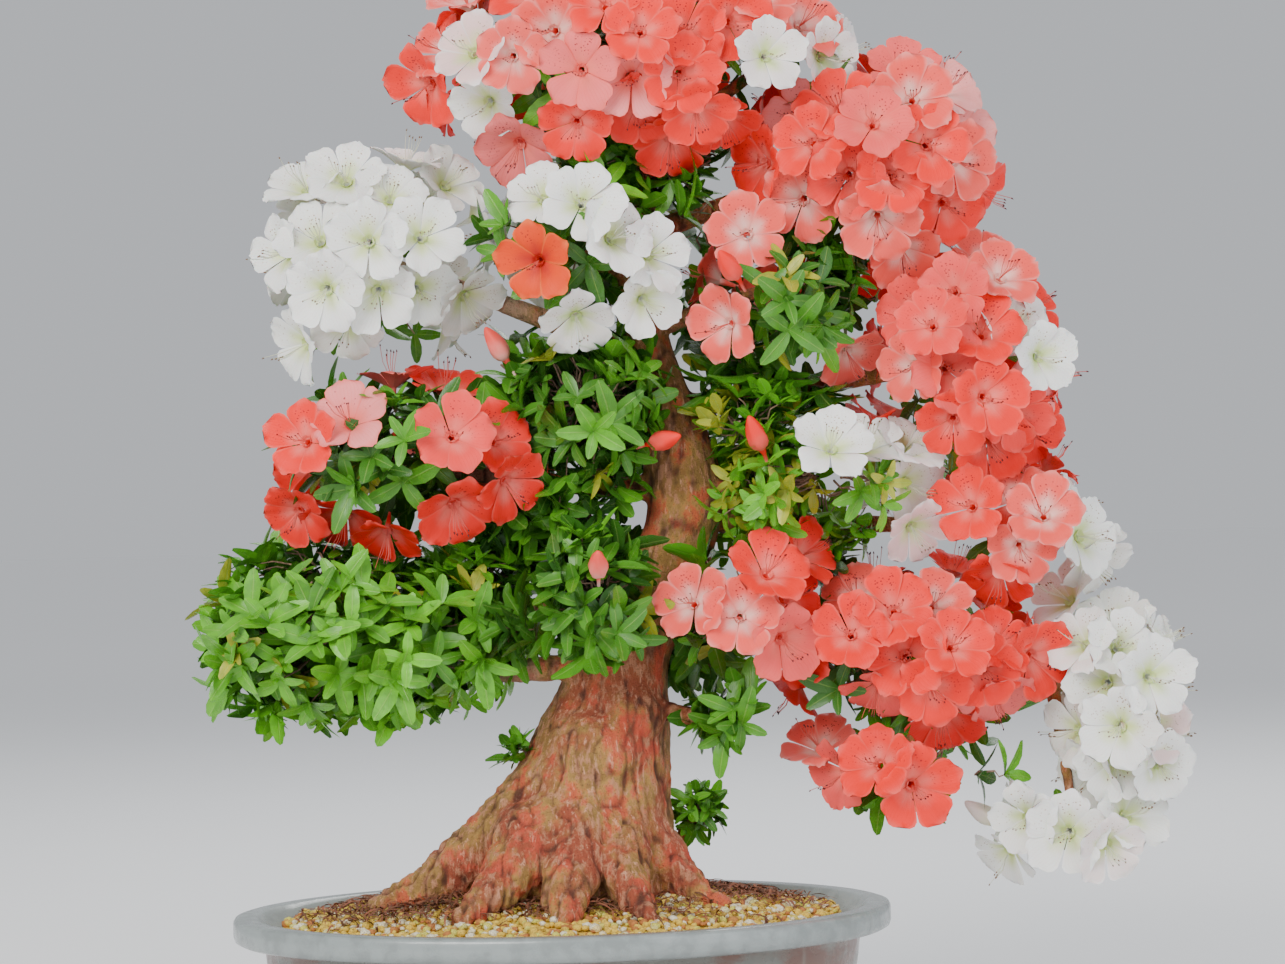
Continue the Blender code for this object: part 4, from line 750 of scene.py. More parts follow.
def strand(bm, points, radii, sides=3, slot=0):
    """A thin tube through points: a ring extruded from each point to the next."""
    layer = bm.loops.layers.uv.verify()
    way = (points[1] - points[0]).normalized()
    turn = way.to_track_quat("Z", "Y").to_matrix().to_4x4()
    ring = bmesh.ops.create_circle(bm, cap_ends=False, segments=sides, radius=radii[0],
                                   matrix=Matrix.Translation(points[0]) @ turn)["verts"]
    edges = {edge for vertex in ring for edge in vertex.link_edges}
    for k in range(1, len(points)):
        grown = bmesh.ops.extrude_edge_only(bm, edges=list(edges))["geom"]
        ring = [item for item in grown if isinstance(item, bmesh.types.BMVert)]
        edges = {item for item in grown if isinstance(item, bmesh.types.BMEdge)}
        size = radii[k] / max(radii[k - 1], 1e-6)
        for vertex in ring:
            vertex.co = points[k] + (vertex.co - points[k - 1]) * size
        for face in {face for vertex in ring for face in vertex.link_faces}:
            face.material_index = slot
            for loop in face.loops:
                loop[layer].uv = (0.5, (k if loop.vert in ring else k - 1) / (len(points) - 1))
    return ring


def standing(place, out, turn=0.0, size=1.0):
    """A matrix that stands at a place with its Z along out."""
    turned = out.to_track_quat("Z", "Y").to_matrix().to_4x4() @ Matrix.Rotation(turn, 4, "Z")
    return Matrix.Translation(place) @ turned @ Matrix.Scale(size, 4)


# Where things stand.


def seeded(*words):
    """A random generator of its own for each thing that is named."""
    return random.Random(" ".join(str(word) for word in (SEED, *words)))


def clamp(value, low=0.0, high=1.0):
    """A value kept between two limits."""
    return min(max(value, low), high)


def spread(count, turn=0.0):
    """Directions spread evenly over a ball."""
    golden = math.pi * (3.0 - math.sqrt(5.0))
    for k in range(count):
        height = 1.0 - 2.0 * (k + 0.5) / count
        flat = math.sqrt(1.0 - height * height)
        yield Vector((flat * math.cos(golden * k + turn), flat * math.sin(golden * k + turn), height))


def steep(spray, point):
    """The outward direction of a spray's oval at a point."""
    middle, half = SPRAYS[spray][:2]
    return Vector([(point[k] / CM - middle[k]) / half[k] ** 2 for k in range(3)]).normalized()


def in_oval(spray, point):
    """A point in shares of a spray's half sizes, from its middle."""
    middle, half = SPRAYS[spray][:2]
    return Vector([(point[k] / CM - middle[k]) / half[k] for k in range(3)])


def buried(spray, point, depth):
    """Whether a point of a spray lies inside another spray: 1 is that one's outside."""
    return any(in_oval(other, point).length < depth for other in SPRAYS if other != spray)


def on_spray(spray, way):
    """The point of a spray's oval in a direction."""
    middle, half = SPRAYS[spray][:2]
    return Vector([(middle[k] + way[k] * half[k]) * CM for k in range(3)])


def on_front(spray, x, z):
    """The point of a spray's near side that is seen from EYE at (x, z) of the trunk's plane."""
    half = SPRAYS[spray][1]
    way = Vector((x * CM, 0.0, z * CM)) - EYE
    a = Vector([way[k] / CM / half[k] for k in range(3)])
    b = in_oval(spray, EYE)
    square, cross, rest = a.dot(a), a.dot(b), b.dot(b) - 1.0
    share = (-cross - math.sqrt(max(cross * cross - square * rest, 0.0))) / square
    return EYE + way * share


def bloom_places(spray, colour, fixed, radius):
    """[place, direction, radius] of each bloom of one colour on a spray: those of the front, then the far side."""
    draw = seeded("blooms", spray, colour)
    placed = []
    for x, z in fixed:
        place = on_front(spray, x, z)
        to_eye = (EYE - place).normalized()
        facing = (steep(spray, place) * OUTWARD + to_eye * TO_EYE + Vector((0.0, 0.0, UPWARD))).normalized()
        if (spray, x) in TRUMPETS:
            facing = Vector(TRUMPETS[spray, x])
        placed.append([place, facing, radius * draw.uniform(0.90, 1.08)])
    wanted, count = BACK_BLOOMS.get(spray, ("", 0))
    if wanted == colour:
        ways = [way for way in spread(BACK_WAYS, draw.uniform(*ANY_TURN))
                if way.y > BACK_FRONT and way.z > BACK_LOWEST]
        for way in draw.sample(ways, len(ways)):
            place = on_spray(spray, way)
            crowded = any((place - other).length < CROWDED * radius for other, _, _ in placed)
            if count and not crowded and not buried(spray, place, BACK_DEPTH):
                placed.append([place, steep(spray, place), radius * draw.uniform(0.90, 1.05)])
                count -= 1
    return placed


def fill_bunch(places, spray, colour, wanted, radius):
    """Adds blooms beside those of one colour on a spray, wherever there is room."""
    draw = seeded("fill", spray, colour)
    ways = [way for way in spread(FILL_WAYS, draw.uniform(*ANY_TURN)) if way.y < FILL_BACK and way.z > FILL_LOWEST]
    for way in draw.sample(ways, len(ways)):
        place = on_spray(spray, way)
        near = min((place - other[0]).length for other in places[spray, colour])
        room = min((place - other[0]).length / (1.0 if tone == colour else OTHER_COLOUR)
                   for (_, tone), group in places.items() for other in group)
        fits = near < NEAR * radius and room > ROOMY * radius and not buried(spray, place, FILL_DEPTH)
        if wanted and fits:
            facing = (steep(spray, place) + (EYE - place).normalized() * 0.25).normalized()
            places[spray, colour].append([place, facing, radius * draw.uniform(0.85, 1.02)])
            wanted -= 1


def all_blooms(radius):
    """[place, direction, radius, layer] of every bloom by spray and colour, with crowded neighbours eased apart."""
    places = {pair: bloom_places(*pair, fixed, radius) for pair, fixed in BLOOMS.items()}
    for spray, (colour, _) in BACK_BLOOMS.items():
        if (spray, colour) not in places:
            places[spray, colour] = bloom_places(spray, colour, (), radius)
    for (spray, colour), wanted in FILL_BLOOMS.items():
        fill_bunch(places, spray, colour, wanted, radius)
    crowd = [bloom for group in places.values() for bloom in group]
    for _ in range(EASING_ROUNDS):
        for k, first in enumerate(crowd):
            for second in crowd[k + 1:]:
                between = second[0] - first[0]
                room = CLOSEST * (first[2] + second[2])
                if between.length < room:
                    push = between.normalized() * (room - between.length) * EASING
                    first[0] -= push
                    second[0] += push
    for k, bloom in enumerate(crowd):
        near = [other[3] for other in crowd[:k] if (other[0] - bloom[0]).length < 2.0 * radius]
        bloom.append(min(LAYERS, key=near.count))
    for place, facing, size, layer in crowd:
        for k in range(3):
            flat = math.sqrt(max(1.0 - facing[k] ** 2, 0.0))
            arm = size * (BESIDE * flat + BEFORE * abs(facing[k])) + BOX_MARGIN
            shift = facing[k] * layer
            place[k] = clamp(place[k], SOLID_BOX[0][k] + arm - shift, SOLID_BOX[1][k] - arm - shift)
    return places


def pot_profile():
    """The pot's section from the middle of its floor over the lip to the middle of its underside."""
    floor = FOOT_HEIGHT + BASE_THICKNESS
    outer = POT_LENGTH / 2 - 1 * MM
    under_lip = POT_HEIGHT - LIP_HEIGHT
    steps = [under_lip * (1 - k / 9) + (FOOT_HEIGHT + 0.003) * k / 9 for k in range(10)]
    outside = [(wall_radius(height), height) for height in steps[1:]]
    inside = [(wall_radius(height) - WALL, height) for height in (floor + 0.006, 0.035, 0.050, 0.070, under_lip)]
    return [
        (0.0, floor), (inside[0][0] - 0.008, floor), *inside, (outer - 0.0185, POT_HEIGHT - 0.004),
        (outer - 0.0165, POT_HEIGHT - 0.0008), (outer - 0.014, POT_HEIGHT), (outer - 0.004, POT_HEIGHT),
        (outer - 0.0012, POT_HEIGHT - 0.0008), (outer, POT_HEIGHT - 0.003), (outer, under_lip + 0.005),
        (outer - 0.001, under_lip + 0.002), (outer - 0.004, under_lip + 0.0003),
        (wall_radius(under_lip) + 0.003, under_lip), (wall_radius(under_lip), under_lip - 0.002), *outside,
        (outside[-1][0] - 0.003, FOOT_HEIGHT + 0.0005), (outside[-1][0] - 0.008, FOOT_HEIGHT), (0.0, FOOT_HEIGHT),
    ]


def wall_radius(height):
    """The pot's outer half length at a height, under its lip."""
    top = POT_LENGTH / 2 - LIP_OVERHANG
    foot = top - FOOT_INSET
    share = (height - FOOT_HEIGHT) / (POT_HEIGHT - LIP_HEIGHT - FOOT_HEIGHT)
    return foot + (top - foot) * math.sin(clamp(share) * math.pi / 2)


def soil_height(x, y):
    """The bed's height at a place."""
    edge = wall_radius(POT_HEIGHT) - WALL
    share = 1.0 - min(math.hypot(x, y / OVAL) / edge, 1.0)
    rise = (SOIL_CROWN - SOIL_TOP_EDGE) * math.cos((1 - share) * math.pi / 2) ** 1.3
    return SOIL_TOP_EDGE + rise


# Operators, one for each piece or group of like pieces.


class BONSAI_OT_pot(bpy.types.Operator):
    """Spins the glazed pot from its section and adds its feet"""
    bl_idname = "bonsai.pot"
    bl_label = "Pot"

    def execute(self, context):
        settings = context.scene.bonsai_pot
        bm = bmesh.new()
        spun(bm, pot_profile(), settings.sides)
        for x, y, radius in FEET:
            place = Matrix.Translation((x, y, FOOT_HEIGHT / 2 + 0.001)) @ Matrix.Diagonal((1.0, 0.7, 1.0, 1.0))
            foot = bmesh.ops.create_cone(bm, cap_ends=True, segments=40, radius1=radius, radius2=radius + 0.003,
                                         depth=FOOT_HEIGHT + 0.002, matrix=place)["verts"]
            low = [edge for edge in bm.edges if all(v in foot and v.co.z < 0.001 for v in edge.verts)]
            bmesh.ops.bevel(bm, geom=low, offset=0.0015, segments=3, profile=0.5, affect="EDGES", material=-1)
        bmesh.ops.recalc_face_normals(bm, faces=bm.faces)
        for vertex in bm.verts:
            swell = -abs(noise.noise(vertex.co * 22.0)) * 0.5 * MM
            if vertex.co.z > FOOT_HEIGHT + 0.001:
                vertex.co += Vector((vertex.co.x, vertex.co.y, 0.0)).normalized() * swell
        pot = mesh_object("pot_glazed", from_bmesh("pot_glazed", bm), glaze_finish(settings))
        finished(pot, nodes_like("pot"))
        return {"FINISHED"}


class BONSAI_OT_soil(bpy.types.Operator):
    """Lays the mounded bed, strews its grains and the litter of fibres and dead leaves"""
    bl_idname = "bonsai.soil"
    bl_label = "Soil"

    def execute(self, context):
        settings = context.scene.bonsai_soil
        draw = random.Random(SEED)
        surface = grain_finish(settings)
        edge = wall_radius(POT_HEIGHT) - WALL - 0.001
        floor = FOOT_HEIGHT + BASE_THICKNESS + 0.001
        bm = bmesh.new()
        section = [(edge * k / BED_RINGS, soil_height(edge * k / BED_RINGS, 0.0) - BED_DROP)
                   for k in range(BED_RINGS + 1)]
        section += [(wall_radius(height) - WALL - 0.001, height) for height in (0.07, 0.05, floor + 0.008)]
        section += [(wall_radius(floor) - WALL - 0.012, floor), (0.0, floor)]
        spun(bm, section, BED_STEPS)
        bmesh.ops.recalc_face_normals(bm, faces=bm.faces)
        for vertex in bm.verts:
            if vertex.co.z > SOIL_TOP_EDGE - 0.004:
                vertex.co.z += noise.noise(vertex.co * 160.0) * 1.2 * MM
        mesh = from_bmesh("soil_bed", bm)
        shade = mesh.attributes.new("tint", "FLOAT", "POINT")
        shade.data.foreach_set("value", [0.1] * len(mesh.vertices))
        bed = mesh_object("soil_bed", mesh, surface)
        finished(bed, nodes_like("soil"))

        templates = []
        for kind in range(5):
            bm = bmesh.new()
            bmesh.ops.create_icosphere(bm, subdivisions=1, radius=settings.grain / 2)
            for vertex in bm.verts:
                vertex.co *= draw.uniform(0.72, 1.12)
            templates.append(from_bmesh(f"grain_{kind}", bm, smooth=False))
        grains = []
        while len(grains) < settings.grains:
            x, y = draw.uniform(-edge, edge), draw.uniform(-edge, edge) * OVAL
            if math.hypot(x, y / OVAL) > edge - 0.002:
                continue
            size = draw.choice((0.62, 0.8, 1.0, 1.0, 1.25, 1.6))
            flat = Matrix.Diagonal((1.0, draw.uniform(0.75, 1.0), draw.uniform(0.6, 0.9), 1.0))
            place = Vector((x, y, soil_height(x, y) + draw.uniform(-0.4, 1.6) * MM))
            turn = Matrix.Rotation(draw.uniform(*ANY_TURN), 4, "Z") @ Matrix.Rotation(draw.uniform(-0.6, 0.6), 4, "X")
            matrix = Matrix.Translation(place) @ turn @ flat @ Matrix.Scale(size, 4)
            grains.append((draw.choice(templates), matrix, draw.random()))
        finished(strewn("soil_grains", grains, [surface]))

        bm = bmesh.new()
        bmesh.ops.create_grid(bm, x_segments=5, y_segments=1, size=0.5)
        for vertex in bm.verts:
            along = vertex.co.x
            vertex.co = Vector((along * 13 * MM, vertex.co.y * (1.3 - 1.8 * abs(along)) * 1.3 * MM,
                                (0.25 - along * along) * 9 * MM))
        scrap = from_bmesh("litter_scrap", bm)
        scraps = []
        while len(scraps) < SCRAPS:
            across, deep, wide, broad = draw.choice(LITTER)
            x, y = draw.gauss(across, wide), draw.gauss(deep, broad)
            if math.hypot(x, y / OVAL) > edge - 0.006:
                continue
            place = Vector((x, y, soil_height(x, y) + draw.uniform(0.8, 5.0) * MM))
            out = Vector((draw.uniform(-0.5, 0.5), draw.uniform(-0.5, 0.5), 1.0)).normalized()
            matrix = standing(place, out, draw.uniform(*ANY_TURN), draw.uniform(0.35, 1.3))
            scraps.append((scrap, matrix, draw.random()))
        finished(strewn("soil_litter", scraps, [litter_finish(settings)]))
        return {"FINISHED"}


class BONSAI_OT_trunk(bpy.types.Operator):
    """Fuses trunk, roots, burrs and branches into one body and carves its bark"""
    bl_idname = "bonsai.trunk"
    bl_label = "Trunk"

    def tube(self, bm, points, sides):
        """Adds a tapering tube through (x, y, z, radius) points in centimetres."""
        curve = bpy.data.curves.new("tube", "CURVE")
        curve.dimensions = "3D"
        curve.bevel_depth = CM
        curve.bevel_resolution = sides
        curve.use_fill_caps = True
        spline = curve.splines.new("NURBS")
        spline.points.add(len(points) - 1)
        for point, (x, y, z, radius) in zip(spline.points, points):
            point.co = (x * CM, y * CM, z * CM, 1.0)
            point.radius = radius
        spline.order_u = min(4, len(points))
        spline.use_endpoint_u = True
        curve.resolution_u = 12
        holder = bpy.data.objects.new("tube", curve)
        bpy.context.scene.collection.objects.link(holder)
        mesh = evaluated_mesh(holder)
        bpy.data.objects.remove(holder)
        bm.from_mesh(mesh)
        bpy.data.meshes.remove(mesh)

    def carve(self, bm):
        """Raises lumps and ridges and cuts folds, and marks each vertex's depth in a fold for the painted shade."""
        bm.normal_update()
        fold = bm.verts.layers.float.new("fold")
        shifts = []
        for vertex in bm.verts:
            place = vertex.co.copy()
            thick = THIN_BARK
            if abs(place.x) < 0.13 and place.z < 0.42:
                thick = clamp((0.34 - place.z) / 0.20, THIN_BARK)
            lumps = noise.noise(place * 36.0) * 2.6 + noise.noise(place * 78.0) * 1.5
            grain = Vector((place.x * 150.0, place.y * 150.0, place.z * 46.0))
            ridges = (1 - 2.2 * abs(noise.noise(grain))) * 1.5 + noise.noise(place * 240.0) * 0.9
            split = Vector((place.x * 70.0, place.y * 70.0, place.z * 17.0 + 5.0))
            deep = max(0.0, 0.16 - abs(noise.noise(split))) * 6.0
            # The mask of the painted shade: how deep in a split or below the ridges a vertex lies.
            vertex[fold] = min(deep ** 1.5 * 0.8 + max(0.0, 0.5 - ridges) * 0.5, 1.0)
            shifts.append(vertex.normal * ((lumps + ridges) * thick - deep * 1.7 * thick) * MM)
        for vertex, shift in zip(bm.verts, shifts):
            vertex.co += shift

    def execute(self, context):
        settings = context.scene.bonsai_bark
        bm = bmesh.new()
        for lines, sides in (((TRUNK,), 8), (ROOTS, 6), (BRANCHES.values(), 4)):
            for line in lines:
                self.tube(bm, line, sides)
        for x, y, z, radius in BURRS:
            place = Matrix.Translation((x * CM, y * CM, z * CM))
            bmesh.ops.create_icosphere(bm, subdivisions=3, radius=radius * CM, matrix=place)
        bmesh.ops.remove_doubles(bm, verts=bm.verts, dist=0.05 * MM)
        tree = mesh_object("trunk_bark", from_bmesh("trunk_bark", bm))
        remesh = tree.modifiers.new("fuse", "REMESH")
        remesh.mode = "VOXEL"
        remesh.voxel_size = settings.voxel
        smooth = tree.modifiers.new("smooth", "SMOOTH")
        smooth.factor = 0.5
        smooth.iterations = 5
        bm = bmesh.new()
        bm.from_mesh(evaluated_mesh(tree))
        tree.modifiers.clear()
        bmesh.ops.bisect_plane(bm, geom=bm.verts[:] + bm.edges[:] + bm.faces[:], plane_co=(0, 0, GROUND_CUT),
                               plane_no=(0, 0, 1), clear_inner=True)
        bmesh.ops.holes_fill(bm, edges=[edge for edge in bm.edges if edge.is_boundary])
        self.carve(bm)
        bmesh.ops.recalc_face_normals(bm, faces=bm.faces)
        tree.data = from_bmesh("trunk_bark", bm)
        tree.data.materials.append(bark_finish(settings))
        finished(tree, nodes_like("trunk"))
        return {"FINISHED"}


class BONSAI_OT_leaves(bpy.types.Operator):
    """Grows the leafy sprays: whorls of leaves on fine twigs, kept off the faces of the blooms"""
    bl_idname = "bonsai.leaves"
    bl_label = "Leaves"

    def leaf(self, bm, settings, azimuth, lift, size, bend):
        """One folded, arching leaf, shaped from a small grid."""
        turn = Matrix.Rotation(azimuth, 3, "Z") @ Matrix.Rotation(-lift, 3, "Y")

        def shape(side, along):
            broad = math.sin(math.pi * (0.05 + 0.83 * along ** 1.1)) ** 0.75 * settings.width / 2 * size
            reach = settings.length * size * (along + 0.07 * (1 - abs(side)) * along ** 6)
            fold = abs(side) * broad * 0.30
            arch = settings.length * size * (bend * along * along)
            return turn @ Vector((reach, side * broad, fold - arch))

        shaped_grid(bm, 2, 4, shape)

    def whorl(self, settings, kind):
        """A shoot's end with its ring of leaves."""
        draw = seeded("whorl", kind)
        bm = bmesh.new()
        leaves = draw.choice((4, 5, 5))
        for k in range(leaves):
            azimuth = 2 * math.pi * k / leaves + draw.uniform(-0.22, 0.22)
            self.leaf(bm, settings, azimuth, math.radians(draw.uniform(12, 58)), draw.uniform(0.66, 1.08),
                      draw.uniform(0.05, 0.38))
        return from_bmesh(f"whorl_{kind}", bm)

    def spots(self, spray, density, draw):
        """(middle, half sizes, direction, room beside a bloom) of each shoot of a spray and its fillers."""
        middle, half, leafy, _ = SPRAYS[spray]
        sides = ((half[0] * half[1]) ** OVAL_POWER + (half[0] * half[2]) ** OVAL_POWER
                 + (half[1] * half[2]) ** OVAL_POWER) / 3
        area = 4 * math.pi * sides ** (1 / OVAL_POWER) / 100.0
        ways = spread(int(density * leafy * area), draw.uniform(*ANY_TURN))
        spots = [(Vector(middle) * CM, half, way, FACE_CLEAR) for way in ways]
        for middle, half in FILLERS.get(spray, ()):
            size = (half[0] * half[1] + half[1] * half[2] + half[0] * half[2]) / 3
            ways = spread(int(density * FILLER_DENSITY * 4 * math.pi * size / 100), draw.uniform(*ANY_TURN))
            spots += [(Vector(middle) * CM, half, way, FILLER_CLEAR) for way in ways]
        return spots

    def covers(self, bloom, place, clear):
        """Whether a shoot at a place would show in front of a bloom or through it."""
        spot, facing, radius, _ = bloom
        apart = place - spot
        rise = apart.dot(facing)
        beside = (apart - facing * rise).length / radius
        clear = STALK_CLEAR if rise < STALK_ZONE else PETAL_CLEAR if rise < PETAL_ZONE else clear
        return BLOOM_ZONE[0] < rise < BLOOM_ZONE[1] and beside < clear

    def execute(self, context):
        settings = context.scene.bonsai_leaf
        blooms = [bloom for group in all_blooms(context.scene.bonsai_bloom.radius).values() for bloom in group]
        whorls = [self.whorl(settings, kind) for kind in range(10)]
        bm = bmesh.new()
        bends = [Vector(point) for point in ((0, 0, 0), (0.003, 0.001, 0.35), (0.001, -0.002, 0.7), (0, 0, 1))]
        strand(bm, bends, (0.9 * MM, 0.75 * MM, 0.6 * MM, 0.45 * MM), sides=4)
        twig = from_bmesh("twig", bm)
        surface = leaf_finish(settings)
        twigs = []
        for spray, (_, _, _, young) in SPRAYS.items():
            draw = seeded("foliage", spray)
            setback = SETBACK.get(spray, USUAL_SETBACK)
            foliage = []
            for heart, extent, way, clear in self.spots(spray, settings.whorls, draw):
                reach = draw.choice([draw.uniform(*limits) for limits in REACHES])
                jitter = Vector([draw.gauss(0, 0.07) for _ in range(3)])
                way = (way + jitter).normalized()
                clump = noise.noise(way * 2.6 + heart * 40.0) * 0.42
                arms = Vector([way[k] * max(extent[k] - setback, 0.8) * CM for k in range(3)])
                place = heart + arms * (reach + clump * (0.55 if reach > 0.72 else 0.0))
                room = min(min(place[k] - SOLID_BOX[0][k], SOLID_BOX[1][k] - place[k]) for k in (0, 1))
                outside = room < LEAF_ROOM or place.z > CAP
                hollow = reach > HOLLOW_REACH and clump < HOLLOW
                if (outside or hollow or buried(spray, place, reach * 0.7)
                        or any(self.covers(bloom, place, clear) for bloom in blooms)):
                    continue
                out = (steep(spray, place) + Vector((0, 0, 0.35)) + jitter * 4).normalized()
                shade = young * (0.35 + 0.65 * (reach - REACHES[0][0]) / REACH_SPAN) + draw.gauss(0.0, 0.13)
                if draw.random() < TURNING_SHARE * (1 + 2 * (young > 0.8)):
                    shade = 1.0
                size = draw.uniform(0.78, 1.12) * SMALLER.get(spray, 1.0)
                matrix = standing(place, out, draw.uniform(*ANY_TURN), size)
                foliage.append((draw.choice(whorls), matrix, clamp(shade)))
                end = heart + (place - heart) * draw.uniform(0.25, 0.5)
                stem = standing(end, (place - end).normalized(), draw.uniform(*ANY_TURN))
                twigs.append((twig, stem @ Matrix.Diagonal((1.0, 1.0, (place - end).length, 1.0)), 0.5))
            piece = strewn("foliage_" + spray, foliage, [surface])
            finished(piece, nodes_like("leaves_" + spray))
        finished(strewn("twigs", twigs, [twig_finish(context.scene.bonsai_bark)]))
        return {"FINISHED"}


class BONSAI_OT_blooms(bpy.types.Operator):
    """Opens the blooms: five ruffled petals round a funnel, with stamens, in bunches of one colour"""
    bl_idname = "bonsai.blooms"
    bl_label = "Blooms"

    def petal(self, bm, azimuth, radius, upper, draw):
        """One broad petal, from the funnel's throat to its ruffled edge."""
        broad, reach = draw.uniform(0.395, 0.46) * radius, radius * draw.uniform(0.93, 1.05)
        ruffle, phase = draw.uniform(0.3, 1.2) * MM, draw.uniform(*ANY_TURN)
        curl, stagger, twist = draw.uniform(-1.0, 4.2) * MM, draw.uniform(-2.2, 2.2) * MM, draw.uniform(-0.22, 0.22)
        notch = draw.choice((0.0, 0.02, 0.05))
        turn = Matrix.Rotation(azimuth, 3, "Z")

        def shape(side, along):
            out = THROAT + (reach - THROAT) * along ** 0.92
            depth = -FUNNEL * (1 - along) ** 2.1
            if along > WIDEST:
                width = broad * math.sqrt(1 - ((along - WIDEST) / 0.365) ** 2)
            else:
                width = broad * (1 - (1 - along / WIDEST) ** 1.40) + 1.3 * MM * (1 - along)
            rounded = reach * 0.11 * side * side * along ** 3
            dent = reach * notch * math.exp(-(side / 0.3) ** 2) * along ** 8
            wave = ruffle * math.sin(2.4 * math.pi * side + phase) * along ** 2.5
            cup = 2.2 * MM * side * side * along * (1 - 0.6 * along)
            groove = -1.3 * MM * math.exp(-(side / 0.16) ** 2) * math.sin(math.pi * along)
            height = depth + wave + cup + groove - curl * along ** 4 + stagger * along + twist * side * width * along
            return turn @ Vector((out - rounded - dent, side * width, height))

        mark = bm.verts.layers.float.get("upper")
        for vertex in shaped_grid(bm, 6, 7, shape):
            vertex[mark] = upper

    def bud(self):
        """A closed bud, its petals rolled into a spindle on a short stalk."""
        bm = bmesh.new()
        layer = bm.loops.layers.uv.verify()
        made = bmesh.ops.create_uvsphere(bm, u_segments=15, v_segments=10, radius=1.0)["verts"]
        for vertex in made:
            around, rise = math.atan2(vertex.co.y, vertex.co.x), vertex.co.z
            thick = (6.0 - 2.4 * rise) * MM * (1 + 0.10 * math.cos(5 * around + 2.5 * rise))
            vertex.co = Vector((vertex.co.x * thick, vertex.co.y * thick, rise * 13 * MM + 9 * MM))
        for face in bm.faces:
            for loop in face.loops:
                loop[layer].uv = (0.5, 0.35 + 14 * loop.vert.co.z)
        strand(bm, [Vector((0, 0, -16 * MM)), Vector((0, 0.5 * MM, -8 * MM)), Vector((0, 0, -2 * MM))],
               (1.1 * MM, 1.4 * MM, 3.2 * MM), sides=6)
        return from_bmesh("bud", bm)

    def bloom(self, radius, kind):
        """A whole bloom, with its stalk, stamens and pistil."""
        draw = seeded("bloom", kind)
        bm = bmesh.new()
        bm.loops.layers.uv.verify()
        bm.verts.layers.float.new("upper")
        for k in range(5):
            azimuth = math.pi / 2 + 2 * math.pi * k / 5 + draw.uniform(-0.05, 0.05)
            self.petal(bm, azimuth, radius, 1.0 if k == 0 else 0.45 if k in (1, 4) else 0.0, draw)
        strand(bm, [Vector((0, 0, -9 * MM)), Vector((0, 0, -13 * MM)), Vector((0, 0.5 * MM, -19 * MM)),
                    Vector((0, 1 * MM, -25 * MM))], (4.2 * MM, 2.6 * MM, 1.6 * MM, 1.0 * MM), sides=7)
        for k in range(6):
            azimuth = -math.pi / 2 + (k - 2.5) * 0.42 + draw.uniform(-0.15, 0.15)
            way = Vector((math.cos(azimuth), math.sin(azimuth), 0.0))
            long = draw.uniform(0.75, 1.05) if k else 1.3
            points = [Vector((0, 0, -11 * MM)), way * 2.0 * MM * long + Vector((0, 0, -2 * MM)),
                      way * 5.0 * MM * long + Vector((0, 0, 7 * MM)),
                      way * 6.5 * MM * long + Vector((0, way.y * -2.5 * MM, 14 * MM * long))]
            thin, end = 0.26 * MM, points[-1]
            points += [end + Vector((0, 0, 0.5 * MM)), end + Vector((0, -0.3 * MM, 1.9 * MM))]
            strand(bm, points, (thin, thin, thin, thin, 0.72 * MM, 0.2 * MM), slot=1)
        return from_bmesh(f"bloom_{kind}", bm)

    def execute(self, context):
        settings = context.scene.bonsai_bloom
        surfaces = {}
        for colour, (throat, edge) in PETALS.items():
            specks = WHITE_SPECKS if colour == "white" else tuple(settings.specks)
            surfaces[colour] = petal_finish(f"petal_{colour}", tuple(getattr(settings, colour)), throat, edge, specks)
        threads = {colour: stamen_finish(f"stamen_{colour}", *tones) for colour, tones in STAMENS.items()}
        kinds = [self.bloom(settings.radius, kind) for kind in range(9)]
        for (spray, colour), places in all_blooms(settings.radius).items():
            draw = seeded("open", spray, colour)
            copies = []
            for place, facing, radius, layer in places:
                up = Vector((0, 0, 1)) - facing * facing.z
                across = up.cross(facing).normalized()
                turned = Matrix((across, facing.cross(across), facing)).transposed().to_4x4()
                lean = Matrix.Rotation(draw.gauss(0, 0.3), 4, "Z") @ Matrix.Rotation(draw.gauss(0, 0.13), 4, "X")
                lean = Matrix.Rotation(draw.gauss(0, 0.11), 4, "Y") @ lean
                stand = place + facing * (layer + draw.uniform(-1.0, 1.0) * MM)
                matrix = Matrix.Translation(stand) @ turned @ lean @ Matrix.Scale(radius / settings.radius, 4)
                copies.append((draw.choice(kinds), matrix, clamp(draw.gauss(0.5, 0.22))))
            stamens = threads["white" if colour == "white" else "coral"]
            piece = strewn(f"blooms_{colour}_{spray}", copies, [surfaces[colour], stamens])
            finished(piece, nodes_like(f"{colour}_{spray}"))
        for colour in sorted({bud[3] for bud in BUDS}):
            copies = []
            for spray, x, z, _ in (bud for bud in BUDS if bud[3] == colour):
                place = on_front(spray, x, z)
                out = (steep(spray, place) + Vector((0, -0.2, 0.7))).normalized()
                copies.append((self.bud(), standing(place, out), 0.2))
            finished(strewn(f"buds_{colour}", copies, [surfaces[colour]]))
        return {"FINISHED"}


